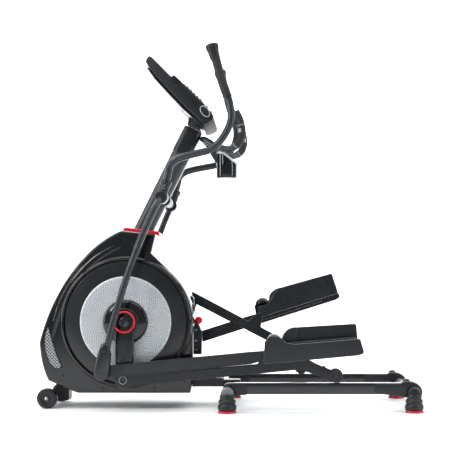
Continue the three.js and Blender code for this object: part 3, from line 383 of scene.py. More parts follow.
# ---- Transport wheels ----
# Two solid rubber tyres on nylon hubs, held on the axle by domed nuts.
# They let the machine be tipped forward and rolled away.
def button_screws():
    """A tree that sets a domed socket screw on each point, facing along the point's own direction."""
    tree = bpy.data.node_groups.new("button_screws", "GeometryNodeTree")
    for socket, kind in (("Points", "NodeSocketGeometry"), ("Head radius", "NodeSocketFloat"),
                         ("Head height", "NodeSocketFloat"), ("Socket depth", "NodeSocketFloat"),
                         ("Finish", "NodeSocketMaterial")):
        tree.interface.new_socket(socket, in_out="INPUT", socket_type=kind)
    tree.interface.new_socket("Geometry", in_out="OUTPUT", socket_type="NodeSocketGeometry")
    given = put(tree, "NodeGroupInput").outputs
    crown = put(tree, "ShaderNodeMath", {0: given["Head radius"], 1: 0.72}, operation="MULTIPLY")
    head = put(tree, "GeometryNodeMeshCone", {"Vertices": 18, "Radius Top": crown.outputs[0],
                                              "Radius Bottom": given["Head radius"], "Depth": given["Head height"]})
    rim = put(tree, "GeometryNodeExtrudeMesh", {"Mesh": head.outputs["Mesh"], "Selection": head.outputs["Top"],
                                                "Offset Scale": 0.0})
    mouth = put(tree, "GeometryNodeScaleElements", {"Geometry": rim.outputs["Mesh"], "Selection": rim.outputs["Top"],
                                                    "Scale": 0.62})
    down = put(tree, "ShaderNodeMath", {0: given["Socket depth"], 1: -1.0}, operation="MULTIPLY")
    pit = put(tree, "GeometryNodeExtrudeMesh", {"Mesh": mouth.outputs["Geometry"], "Selection": rim.outputs["Top"],
                                                "Offset Scale": down.outputs[0]})
    facing = put(tree, "GeometryNodeInputNamedAttribute", {"Name": "facing"}, data_type="FLOAT_VECTOR")
    turn = put(tree, "FunctionNodeAlignRotationToVector", {"Vector": facing.outputs["Attribute"]}, axis="Z")
    placed = put(tree, "GeometryNodeInstanceOnPoints", {"Points": given["Points"], "Instance": pit.outputs["Mesh"],
                                                        "Rotation": turn.outputs[0]})
    real = put(tree, "GeometryNodeRealizeInstances", {"Geometry": placed.outputs[0]})
    done = put(tree, "GeometryNodeSetMaterial", {"Geometry": real.outputs[0], "Material": given["Finish"]})
    put(tree, "NodeGroupOutput", {"Geometry": done.outputs[0]})
    return tree


def grown(name, tree, values, points_mm=(), edges=(), facing=None):
    """Runs a tree on points or edges in millimetres and gives the plain mesh that it makes."""
    carrier = bpy.data.meshes.new(name + "_carrier")
    carrier.from_pydata([[c / 1000 for c in p] for p in points_mm], edges, [])
    if facing:
        way = carrier.attributes.new("facing", "FLOAT_VECTOR", "POINT")
        way.data.foreach_set("vector", [c for f in facing for c in f])
    holder = bpy.data.objects.new(name + "_carrier", carrier)
    bpy.context.scene.collection.objects.link(holder)
    modifier = holder.modifiers.new("grow", "NODES")
    modifier.node_group = tree
    for item in tree.interface.items_tree:
        if item.in_out == "INPUT" and item.name in values:
            modifier[item.identifier] = values[item.name]
    ready = holder.evaluated_get(bpy.context.evaluated_depsgraph_get())
    mesh = bpy.data.meshes.new_from_object(ready)
    mesh.name = name
    bpy.data.objects.remove(holder)
    mesh.shade_smooth()
    mesh.set_sharp_from_angle(angle=math.radians(35))
    piece = bpy.data.objects.new(name, mesh)
    bpy.context.scene.collection.objects.link(piece)
    return piece


def plated(name, colour, painted_top_highlight, roughness):
    """Zinc-plated or turned steel, with rings left by the tool about 0.5 mm apart, drawn at 1.5 mm."""
    made, tree, where = blank(name)
    tool = put(tree, "ShaderNodeTexNoise", {"Vector": where, "Scale": 1 / 0.0015, "Detail": 3.0})
    smear = put(tree, "ShaderNodeTexNoise", {"Vector": where, "Scale": 1 / 0.03, "Detail": 4.0})
    bump = put(tree, "ShaderNodeBump", {"Height": tool.outputs["Fac"], "Strength": 0.12, "Distance": 0.0003})
    close(tree, Base_Color=mixed(tree, smear.outputs["Fac"], colour, painted_top_highlight), Metallic=1.0, Normal=bump.outputs[0],
          Roughness=spread(tree, smear.outputs["Fac"], roughness - 0.06, roughness + 0.12))
    return made


screw_tree = button_screws()
zinc = plated("zinc_plated_screw_steel", "#a9adb2", "#8b9095", 0.3)
black_screw = plated("blackened_screw_steel", "#3b3e42", "#56595e", 0.32)
tyre_line = [(24, 132), (30, 131), (38, 131), (43, 133), (45.5, 137), (46, 142), (46, 155), (45.5, 160), (43, 164),
             (38, 166), (30, 166), (24, 165), (24, 132)]
hub_line = [(8, 134), (12, 134), (13, 138), (23.6, 138), (23.6, 159), (13, 159), (12, 163), (8, 163), (8, 134)]
for side, hand in ((-1, "left"), (1, "right")):
    at = (wheel_x, 0, wheel_z)
    axis = "Y" if side > 0 else "-Y"
    own(lathe("tyre_" + hand, tyre_line, at, axis, boot_rubber, 72), "wheel_" + hand, "rubber", "wheel_" + hand)
    own(lathe("wheel_hub_" + hand, hub_line, at, axis, nylon, 56), "wheel_" + hand, "black_plastic")
    own(lathe("axle_nut_" + hand, [(0, 163.2), (10, 163.2), (10.5, 165), (8, 169), (4.5, 171), (0, 171.5)], at, axis,
              zinc, 6, 20), "frame", "steel")


# ---- Mast and its pivot ----
# A leaning oval box tube welded over the upright, charcoal powder coated, with a black sleeve at the head.
# A turned shaft through it carries both swing arms.
def by_joint(name):
    """A joint's point, in millimetres."""
    found = next(j for j in frame["joints"] if j["name"] == name)
    return Vector(found["pos_m"]) * 1000


pivot = by_joint("left_arm_swing")
mast_tilt = math.radians(26.4)
mast_foot = Vector((pivot.x - 112, 0, 800))
mast_way = Vector((math.sin(mast_tilt), 0, math.cos(mast_tilt)))
mast_back = Vector((math.cos(mast_tilt), 0, -math.sin(mast_tilt)))


def on_mast(along, depth, width, corner):
    """A rounded section square to the mast, that far above its foot along its slope."""
    middle_point = mast_foot + mast_way * along
    return [middle_point + mast_back * d + Vector((0, w, 0))
            for w, d in rounded_section(width / 2, -depth / 2, depth / 2, corner, 8)]


charcoal = powder_coat("satin_charcoal_powder_coat", "#2a2d31", "#3a3e43", 0.3)
mast_length = (1282 - 800) / math.cos(mast_tilt)
mast_rows = [on_mast(a, 86, 72, 26) for a in (0, mast_length * 0.5, mast_length)]
own(lofted("mast_tube", mast_rows, charcoal), "frame", "grey_painted_steel", "mast")
sleeve_rows = [on_mast(mast_length + a, d, w, 26) for a, d, w in
               ((-128, 86.6, 72.6), (-127, 90, 76), (-8, 90, 76), (-3, 87, 73), (0, 80, 66))]
own(lofted("mast_head_sleeve", sleeve_rows, nylon), "frame", "black_plastic")
boss_line = [(17, -62), (23.5, -62), (25, -60.5), (25, 60.5), (23.5, 62), (17, 62), (17, -62)]
own(lathe("pivot_boss", boss_line, pivot * Vector((1, 0, 1)), "Y", charcoal, 48), "frame", "grey_painted_steel")
turned_steel = plated("turned_shaft_steel", "#9a9ea3", "#b9bdc1", 0.22)
shaft_line = [(0, -216), (16, -216), (16, 216), (0, 216)]
own(lathe("pivot_shaft_bar", shaft_line, pivot * Vector((1, 0, 1)), "Y", turned_steel, 48), "frame", "steel",
    "pivot_shaft")
cap_dome = [(0, 212), (15, 212), (15, 220.4), (25, 220.4), (26, 221.4), (26, 224.5), (23, 227.5), (14, 228.3), (0, 228.4)]
for side, hand in ((-1, "left"), (1, "right")):
    axis = "Y" if side > 0 else "-Y"
    own(lathe("pivot_cap_" + hand, cap_dome, pivot * Vector((1, 0, 1)), axis, nylon, 48), "frame", "black_plastic")
mast_bolts = [mast_foot + mast_way * a + mast_back * 6 + Vector((0, s * 36.4, 0)) for a in (mast_length - 60, 42)
              for s in (-1, 1)]
bolts = grown("mast_bolts", screw_tree, {"Head radius": 0.0072, "Head height": 0.005, "Socket depth": 0.003,
                                         "Finish": black_screw}, mast_bolts, (), [(0, -1, 0), (0, 1, 0)] * 2)
own(bolts, "frame", "steel")


# ---- Drive inside the housing ----
# A crankshaft in two ball bearings, a moulded pulley, a ribbed belt and a cast flywheel.
# None of it shows while the housing is on, so the pieces keep their working shapes.
belt_rubber = moulded("fabric_backed_belt_rubber", "#141414", "#1e1e1f", 0.6, 0.8, depth=0.5)
cast_iron = powder_coat("silver_painted_cast_iron", "#8b8e92", "#a4a7aa", 0.38)
pulley_nylon = moulded("glass_filled_black_nylon", "#1a1b1d", "#25272a", 0.5, 0.7, depth=0.4)
clothe(turned_steel, "crankshaft", "crank_bearing_left", "crank_bearing_right", "flywheel_axle")
clothe(pulley_nylon, "crank_pulley")
clothe(belt_rubber, "drive_belt")
clothe(cast_iron, "flywheel")


# ---- Drive housing ----
# Two gloss black shells, injection moulded in ABS and screwed together along the middle.
# Each has a raised rim round its crank disc, and a flowing bead runs up its front edge.
def gloss_abs(name, colour, pale):
    """High-gloss ABS: a mirror coat over black, with swirl marks and a little orange peel 12 mm across."""
    made, tree, where = blank(name)
    peel = put(tree, "ShaderNodeTexNoise", {"Vector": where, "Scale": 1 / 0.012, "Detail": 1.0})
    swirl = put(tree, "ShaderNodeTexNoise", {"Vector": where, "Scale": 1 / 0.06, "Detail": 6.0, "Distortion": 1.2})
    bump = put(tree, "ShaderNodeBump", {"Height": peel.outputs["Fac"], "Strength": 0.05, "Distance": 0.001})
    close(tree, Base_Color=mixed(tree, swirl.outputs["Fac"], colour, pale), Normal=bump.outputs[0],
          Roughness=spread(tree, swirl.outputs["Fac"], 0.12, 0.22), Specular_IOR_Level=0.2, Coat_Weight=0.7,
          Coat_Roughness=0.04)
    return made


def inset(points, distance):
    """Moves a counter-clockwise outline inwards along each corner's bisector."""
    moved = []
    for i, (x, z) in enumerate(points):
        before = Vector(points[i - 1])
        after = Vector(points[(i + 1) % len(points)])
        here = Vector((x, z))
        bisector = ((here - before).normalized() + (after - here).normalized()).normalized()
        moved.append((x - bisector.y * distance, z + bisector.x * distance))
    return moved


def curved(start, *controls, steps=14):
    """Points on a Bezier curve from start, with two or three control points, without its first point."""
    points = []
    everything = [Vector(p) for p in (start, *controls)]
    degree = len(everything) - 1
    for i in range(1, steps + 1):
        t = i / steps
        total = Vector((0, 0))
        for k, p in enumerate(everything):
            total += math.comb(degree, k) * (1 - t) ** (degree - k) * t ** k * p
        points.append(tuple(total))
    return points


gloss_black = gloss_abs("high_gloss_black_abs", "#08090b", "#0e1013")
crank = by_joint("crank_turn")
shell_half = 165
rim_radius = 300
neck_front = (pivot.x - 186, 802)
neck_rear = (pivot.x - 31, 784)
front_low = (crank.x - 392, 300)
shell_line = [(crank.x + rim_radius - 14, 70), (crank.x + rim_radius, 130)]
shell_line += arc(crank.x, crank.z, rim_radius, 0, 44, 14)
shell_line += [(neck_rear[0] - 20, 700), neck_rear, neck_front]
shell_line += curved(neck_front, (crank.x - 160, 752), (crank.x - 330, 560), front_low, steps=26)
shell_line += curved(front_low, (crank.x - 390, 200), (crank.x - 352, 126), steps=10)
shell_line += [(crank.x - 220, 70)]
edge_rows = [(0, 0.3), (0, 149), (0.6, 155), (2.4, 160), (5, 163), (9, 164.7), (14, 165)]
front_bead = curved((neck_front[0] + 34, 744), (crank.x - 158, 700), (crank.x - 300, 540), (crank.x - 336, 300), steps=24)
for side, hand in ((-1, "left"), (1, "right")):
    axis = "Y" if side > 0 else "-Y"
    rows = [[(x, side * y, z) for x, z in inset(shell_line, d)] for d, y in edge_rows]
    shell = lofted("housing_shell_" + hand, rows, gloss_black, 45)
    own(shell, "frame", "gloss_black_plastic", "shroud_" + hand)
    # The rim round the disc rises from the shell in a soft roll.
    rim_line = [(277, 160), (277, 176), (279, 179.4), (283, 180.8), (288, 179), (293, 174), (297, 167.5), (298, 160),
                (277, 160)]
    rim = lathe("housing_rim_" + hand, rim_line, (crank.x, 0, crank.z), axis, gloss_black, 128, 50)
    own(rim, "frame", "gloss_black_plastic")
    # The front bead is a long lens in section, 34 mm wide at its middle, that thins to both ends.
    bead = []
    for i, (x, z) in enumerate(front_bead):
        t = (i + 0.5) / len(front_bead)
        width = 3 + 20 * math.sin(math.pi * t) ** 0.8
        a = front_bead[max(i - 1, 0)]
        b = front_bead[min(i + 1, len(front_bead) - 1)]
        way = Vector((b[0] - a[0], b[1] - a[1])).normalized()
        bead.append([(x - way.y * u * width, side * (164 + 9 * math.sqrt(max(0, 1 - u * u)) * math.sin(math.pi * t)
                                                     if v > 0 else 161), z + way.x * u * width)
                     for u, v in [(-1, 0), (-0.92, 1), (-0.7, 1), (-0.35, 1), (0, 1), (0.35, 1), (0.7, 1), (0.92, 1),
                                  (1, 0)]])
    own(lofted("housing_bead_" + hand, bead, gloss_black, 50), "frame", "gloss_black_plastic")
    spots = [(-770, 470), (-742, 150), (-560, 92), (-330, 92), (-196, 120), (-430, 742)]
    screws = grown("housing_screws_" + hand, screw_tree, {"Head radius": 0.0055, "Head height": 0.004,
                   "Socket depth": 0.0025, "Finish": black_screw}, [(x, side * 166, z) for x, z in spots], (),
                   [(0, side, 0)] * len(spots))
    own(screws, "frame", "steel")
neck_lip = [(pivot.x - 196, 804.6), (pivot.x - 25, 784.7), (pivot.x - 26, 800), (pivot.x - 34, 805),
            (pivot.x - 176, 822), (pivot.x - 190, 820)]
lip = prism("neck_lip", neck_lip, -66, 66, red_plastic, 4)
own(lip, "frame", "red_plastic", "neck_collar")


# ---- Side vents ----
# A sunken crescent on each shell with a silver moulded lattice of crossing bars.
# Air leaves the flywheel's brake through it.
def strand_bars():
    """A tree that turns each edge into a thin bar with square ends."""
    tree = bpy.data.node_groups.new("strand_bars", "GeometryNodeTree")
    for socket, kind in (("Lines", "NodeSocketGeometry"), ("Bar width", "NodeSocketFloat"),
                         ("Bar depth", "NodeSocketFloat"), ("Finish", "NodeSocketMaterial")):
        tree.interface.new_socket(socket, in_out="INPUT", socket_type=kind)
    tree.interface.new_socket("Geometry", in_out="OUTPUT", socket_type="NodeSocketGeometry")
    given = put(tree, "NodeGroupInput").outputs
    lines = put(tree, "GeometryNodeMeshToCurve", {"Mesh": given["Lines"]})
    section = put(tree, "GeometryNodeCurvePrimitiveQuadrilateral", {"Width": given["Bar width"],
                                                                    "Height": given["Bar depth"]})
    bars = put(tree, "GeometryNodeCurveToMesh", {"Curve": lines.outputs[0], "Profile Curve": section.outputs[0],
                                                 "Fill Caps": True})
    real = put(tree, "GeometryNodeRealizeInstances", {"Geometry": bars.outputs[0]})
    done = put(tree, "GeometryNodeSetMaterial", {"Geometry": real.outputs[0], "Material": given["Finish"]})
    put(tree, "NodeGroupOutput", {"Geometry": done.outputs[0]})
    return tree


def crossings(point, way, border):
    """Where a line crosses a border, as sorted distances along the line."""
    found = []
    for i, b in enumerate(border):
        a = border[i - 1]
        ex, ez = b[0] - a[0], b[1] - a[1]
        down = way[0] * ez - way[1] * ex
        if abs(down) < 1e-9:
            continue
        t = ((a[0] - point[0]) * ez - (a[1] - point[1]) * ex) / down
        u = ((a[0] - point[0]) * way[1] - (a[1] - point[1]) * way[0]) / down
        if 0 <= u < 1:
            found.append(t)
    return sorted(found)


bar_tree = strand_bars()
lattice_silver = moulded("silver_moulded_lattice", "#a7abb0", "#c3c6ca", 0.34, 1.0, coat=0.3)
vent_tip = (crank.x - 350, 368)
vent_line = [vent_tip]
vent_line += curved(vent_tip, (crank.x - 384, 292), (crank.x - 340, 206), steps=12)
vent_line += curved(vent_line[-1], (crank.x - 314, 172), (crank.x - 290, 188), steps=6)
vent_line += curved(vent_line[-1], (crank.x - 326, 258), vent_tip, steps=12)[:-1]
bar_pitch = 10.5
for side, hand in ((-1, "left"), (1, "right")):
    points, edges = [], []
    for slope in (1, -1):
        way = (math.sqrt(0.5), slope * math.sqrt(0.5))
        for step in range(-30, 30):
            start = (crank.x - 340 - way[1] * step * bar_pitch, 270 + way[0] * step * bar_pitch)
            hits = crossings(start, way, vent_line)
            for near, far in zip(hits[::2], hits[1::2]):
                if far - near > 3:
                    for t in (near, far):
                        points.append((start[0] + way[0] * t, side * (167.6 + 0.5 * slope), start[1] + way[1] * t))
                    edges.append((len(points) - 2, len(points) - 1))
    lattice = grown("vent_lattice_" + hand, bar_tree, {"Bar width": 0.0026, "Bar depth": 0.0024,
                                                        "Finish": lattice_silver}, points, edges)
    own(lattice, "frame", "grey_plastic", "vent_" + hand)
    frame_rows = [[(x, side * y, z) for x, z in inset(vent_line, d)] for d, y in
                  ((-4, 164), (-4, 168.5), (-2.4, 170), (-0.8, 169.4), (0, 168), (0, 164), (-4, 164))]
    own(lofted("vent_frame_" + hand, frame_rows, gloss_black, 50, ends=False), "frame", "gloss_black_plastic")
    well = prism("vent_well_" + hand, vent_line, side * 164, side * 165.6, nylon)
    own(well, "frame", "black_plastic")


# ---- Crank discs, dimpled rings and hub caps ----
# A black moulded disc turns with the cranks, with a silver painted ring of fine dimples bonded to it.
# A domed gloss cap covers the bolts in the middle.
def dimple_field():
    """A tree that sets dimples in an even sunflower spiral between two radii, on the side plane."""
    tree = bpy.data.node_groups.new("dimple_field", "GeometryNodeTree")
    for socket, kind in (("Carrier", "NodeSocketGeometry"), ("Count", "NodeSocketInt"),
                         ("Inner radius", "NodeSocketFloat"), ("Outer radius", "NodeSocketFloat"),
                         ("Dimple radius", "NodeSocketFloat"), ("Rise", "NodeSocketFloat"),
                         ("Finish", "NodeSocketMaterial")):
        tree.interface.new_socket(socket, in_out="INPUT", socket_type=kind)
    tree.interface.new_socket("Geometry", in_out="OUTPUT", socket_type="NodeSocketGeometry")
    given = put(tree, "NodeGroupInput").outputs
    line = put(tree, "GeometryNodeMeshLine", {"Count": given["Count"]})
    index = put(tree, "GeometryNodeInputIndex")
    share = put(tree, "ShaderNodeMath", {0: index.outputs[0], 1: given["Count"]}, operation="DIVIDE")
    inner = put(tree, "ShaderNodeMath", {0: given["Inner radius"], 1: 2.0}, operation="POWER")
    outer = put(tree, "ShaderNodeMath", {0: given["Outer radius"], 1: 2.0}, operation="POWER")
    area = put(tree, "ShaderNodeMapRange", {"Value": share.outputs[0], "To Min": inner.outputs[0],
                                            "To Max": outer.outputs[0]})
    radius = put(tree, "ShaderNodeMath", {0: area.outputs[0]}, operation="SQRT")
    golden = math.pi * (3 - math.sqrt(5))
    angle = put(tree, "ShaderNodeMath", {0: index.outputs[0], 1: golden}, operation="MULTIPLY")
    cos = put(tree, "ShaderNodeMath", {0: angle.outputs[0]}, operation="COSINE")
    sin = put(tree, "ShaderNodeMath", {0: angle.outputs[0]}, operation="SINE")
    x = put(tree, "ShaderNodeMath", {0: cos.outputs[0], 1: radius.outputs[0]}, operation="MULTIPLY")
    z = put(tree, "ShaderNodeMath", {0: sin.outputs[0], 1: radius.outputs[0]}, operation="MULTIPLY")
    spot = put(tree, "ShaderNodeCombineXYZ", {"X": x.outputs[0], "Z": z.outputs[0]})
    laid = put(tree, "GeometryNodeSetPosition", {"Geometry": line.outputs[0], "Position": spot.outputs[0]})
    bump = put(tree, "GeometryNodeMeshIcoSphere", {"Radius": given["Dimple radius"], "Subdivisions": 2})
    flat = put(tree, "ShaderNodeMath", {0: given["Rise"], 1: given["Dimple radius"]}, operation="DIVIDE")
    shape = put(tree, "ShaderNodeCombineXYZ", {"X": 1.0, "Y": flat.outputs[0], "Z": 1.0})
    placed = put(tree, "GeometryNodeInstanceOnPoints", {"Points": laid.outputs[0], "Instance": bump.outputs[0],
                                                        "Scale": shape.outputs[0]})
    real = put(tree, "GeometryNodeRealizeInstances", {"Geometry": placed.outputs[0]})
    done = put(tree, "GeometryNodeSetMaterial", {"Geometry": real.outputs[0], "Material": given["Finish"]})
    put(tree, "NodeGroupOutput", {"Geometry": done.outputs[0]})
    return tree


def silver_paint():
    """Metallic silver paint on moulded plastic. Its flakes are 0.05 mm, drawn at 0.8 mm so that they glint."""
    made, tree, where = blank("metallic_silver_paint")
    flake = put(tree, "ShaderNodeTexVoronoi", {"Vector": where, "Scale": 1 / 0.0008})
    cloud = put(tree, "ShaderNodeTexNoise", {"Vector": where, "Scale": 1 / 0.05, "Detail": 3.0})
    base = mixed(tree, cloud.outputs["Fac"], "#a9adb1", "#bfc3c6")
    glint = put(tree, "ShaderNodeMath", {0: flake.outputs["Distance"], 1: 0.35}, operation="MULTIPLY")
    bump = put(tree, "ShaderNodeBump", {"Height": flake.outputs["Distance"], "Strength": 0.2, "Distance": 0.0002})
    close(tree, Base_Color=mixed(tree, glint.outputs[0], base, "#ffffff"), Metallic=0.55, Normal=bump.outputs[0],
          Roughness=spread(tree, cloud.outputs["Fac"], 0.36, 0.48))
    return made


silver = silver_paint()
disc_black = moulded("satin_black_disc_abs", "#0d0e10", "#15171a", 0.3, 1.1, depth=0.15, coat=0.5, coat_roughness=0.15)
dimple_tree = dimple_field()
disc_line = [(13, 170), (262, 170), (270, 171), (272, 173), (272, 180), (270, 183), (266, 184), (214, 184),
             (207, 184.2), (13, 184.2), (13, 170)]
ring_line = [(99, 184.6), (204, 184.6), (204, 186), (202, 187.4), (198, 188), (105, 188), (101, 187.6), (99, 186.4),
             (99, 184.6)]
hub_line = [(13, 184.6), (98, 184.6), (98, 189), (97, 192.5), (93, 196), (84, 199.5), (70, 203), (52, 205.4),
            (13, 205.6), (13, 184.6)]
for side, hand in ((-1, "left"), (1, "right")):
    axis = "Y" if side > 0 else "-Y"
    at = (crank.x, 0, crank.z)
    own(lathe("crank_disc_plate_" + hand, disc_line, at, axis, disc_black, 160), "crank", "black_plastic",
        "crank_disc_" + hand)
    own(lathe("silver_ring_" + hand, ring_line, at, axis, silver, 128), "crank", "silver_paint",
        "dimpled_ring_" + hand)
    dimples = grown("ring_dimples_" + hand, dimple_tree, {
        "Count": 900, "Inner radius": 0.104, "Outer radius": 0.1975, "Dimple radius": 0.0032, "Rise": 0.0022,
        "Finish": zinc}, [(0, 0, 0)])
    dimples.data.transform(Matrix.Translation((crank.x / 1000, side * 0.188, crank.z / 1000)))
    own(dimples, "crank", "silver_paint")
    own(lathe("hub_dome_" + hand, hub_line, at, axis, gloss_black, 96, 60), "crank", "gloss_black_plastic",
        "hub_cap_" + hand)


# ---- Crank arms ----
# Forged steel arms under a keyhole-shaped gloss cover, with a red trim ring round the crank bolt.
# A turned pin at the free end carries the pedal leg.
arm_reach = 254
eye = 62
tip = 44
for side, hand in ((-1, "left"), (1, "right")):
    axis = "Y" if side > 0 else "-Y"
    at = (crank.x, 0, crank.z)
    turn = math.pi if side > 0 else 0
    arm_line = arc(0, 0, eye, -48, 228, 26) + [(-40, -arm_reach + 30)]
    arm_line += arc(0, -arm_reach, tip, 150, 390, 20) + [(40, -arm_reach + 30)]
    arm = prism("crank_arm_cover_" + hand, arm_line, side * 206, side * 226, gloss_black, 5, (crank.x, crank.z, turn))
    own(arm, "crank", "black_painted_steel", "crank_arm_" + hand)
    groove = [(-13, -84), (13, -84), (16, -arm_reach + 66), (-16, -arm_reach + 66)]
    panel = prism("crank_arm_panel_" + hand, groove, side * 225, side * 227.4, disc_black, 1, (crank.x, crank.z, turn))
    own(panel, "crank", "black_plastic")
    pin_z = crank.z + (arm_reach if side > 0 else -arm_reach)
    own(lathe("crank_pin_" + hand, [(0, 222), (14, 222), (14, 262.6), (0, 262.6)], (crank.x, 0, pin_z), axis,
              turned_steel, 40), "crank", "steel")
    own(lathe("crank_pin_cap_" + hand, [(0, 262.8), (18, 262.8), (19.5, 264), (19.5, 265.4), (16, 266.4), (11, 266.2),
              (9, 264.8), (0, 264.6)], (crank.x, 0, pin_z), axis, disc_black, 48), "crank", "steel")
    own(lathe("crank_pin_washer_" + hand, [(15.5, 266.2), (17.6, 266.2), (17.6, 267.4), (15.5, 267.4), (15.5, 266.2)],
              (crank.x, 0, pin_z), axis, zinc, 48), "crank", "steel")
    red_line = [(41, 226.4), (50, 226.4), (50, 229), (48.8, 230.6), (46, 231), (42.4, 230.4), (41, 228.8), (41, 226.4)]
    own(lathe("red_trim_ring_" + hand, red_line, at, axis, red_plastic, 80, 50), "crank", "red_plastic",
        "red_ring_" + hand)
    bolt_line = [(0, 226.2), (22, 226.2), (22, 228.4), (19, 230), (11, 230.6), (9, 229.2), (0, 229)]
    own(lathe("crank_bolt_cover_" + hand, bolt_line, at, axis, disc_black, 56), "crank", "black_plastic")


# ---- Pedal legs and rollers ----
# Each leg is a bent box tube from the crank pin, up under the pedal and down to a urethane roller.
# Satin black powder coat; a ribbed moulded cover is bolted over the roller fork.
def linkage(side):
    """The angles and ends of one side's leg and foot arm, worked out from the joints."""
    hand = "right" if side > 0 else "left"
    pin = Vector((crank.x, crank.z + (arm_reach if side > 0 else -arm_reach)))
    roller = by_joint(hand + "_roller_spin")
    foot = by_joint(hand + "_foot_arm_pivot")
    roller = Vector((roller.x, roller.z))
    foot = Vector((foot.x, foot.z))
    leg = math.atan2(roller.y - pin.y, roller.x - pin.x)
    knee = pin + Matrix.Rotation(leg, 2) @ Vector((628, 94))
    lean = math.atan2(knee.y - foot.y, knee.x - foot.x)
    swing = math.atan2(pivot.x - foot.x, pivot.z - foot.y)
    return pin, roller, leg, foot, lean, swing


urethane = moulded("cast_urethane_roller", "#2b2d30", "#3a3c40", 0.45, 0.9)
leg_steel = powder_coat("gloss_black_powder_coat", "#101215", "#1a1d21", 0.26)
leg_length = 933
leg_line = arc(0, 0, 34, 62, 298, 22) + [(60, -25), (780, 31), (880, -6), (904, -15)]
leg_line += arc(leg_length, 0, 20, 230, 400, 14) + [(846, 58), (826, 70), (806, 75), (780, 75), (662, 67)]
leg_line += arc(628, 94, 25, -6, 186, 14) + [(594, 60), (60, 25)]
for side, hand in ((-1, "left"), (1, "right")):
    axis = "Y" if side > 0 else "-Y"
    pin, roller, leg, foot, lean, swing = linkage(side)
    place = (pin.x, pin.y, leg)
    tube = prism("leg_tube_" + hand, leg_line, side * 236, side * 262, leg_steel, 5, place)
    own(tube, "leg_" + hand, "black_painted_steel", "pedal_leg_" + hand)
    bush = [(15, 233), (26, 233), (26, 263), (24, 264.4), (20, 264.4), (20, 262), (15, 262), (15, 233)]
    own(lathe("leg_bush_" + hand, bush, (pin.x, 0, pin.y), axis, nylon, 48), "leg_" + hand, "black_plastic")
    # The roller's cover wraps the fork's end from both sides, with seven ribs over its back.
    cover_line = arc(leg_length, 0, 33, -62, 148, 22) + [(884, 50), (868, 20), (900, -22)]
    cover = prism("roller_cover_" + hand, cover_line, side * 229, side * 268, nylon, 6, place)
    own(cover, "leg_" + hand, "black_plastic")
    ribs, rib_ends = [], []
    for k in range(8):
        a = math.radians(8 + k * 18)
        x, z = leg_length + 33.4 * math.cos(a), 33.4 * math.sin(a)
        c, s = math.cos(leg), math.sin(leg)
        for y in (234, 263):
            ribs.append((pin.x + x * c - z * s, side * y, pin.y + x * s + z * c))
        rib_ends.append((len(ribs) - 2, len(ribs) - 1))
    own(grown("roller_cover_ribs_" + hand, bar_tree, {"Bar width": 0.004, "Bar depth": 0.004, "Finish": nylon}, ribs,
              rib_ends), "leg_" + hand, "black_plastic")
    roller_line = [(7, 242), (26, 242), (28.4, 243.4), (29, 245), (29, 253), (28.4, 254.6), (26, 256), (7, 256), (7, 242)]
    own(lathe("track_roller_" + hand, roller_line, (roller.x, 0, roller.y), axis, urethane, 64), "roller_" + hand,
        "rubber", "roller_" + hand)
    screw_spots = [(roller.x, side * 268.6, roller.y), (roller.x - 46, side * 268.6, roller.y + 22)]
    own(grown("roller_cover_screws_" + hand, screw_tree, {"Head radius": 0.006, "Head height": 0.004,
              "Socket depth": 0.0025, "Finish": black_screw}, screw_spots, (), [(0, side, 0)] * 2), "leg_" + hand, "steel")


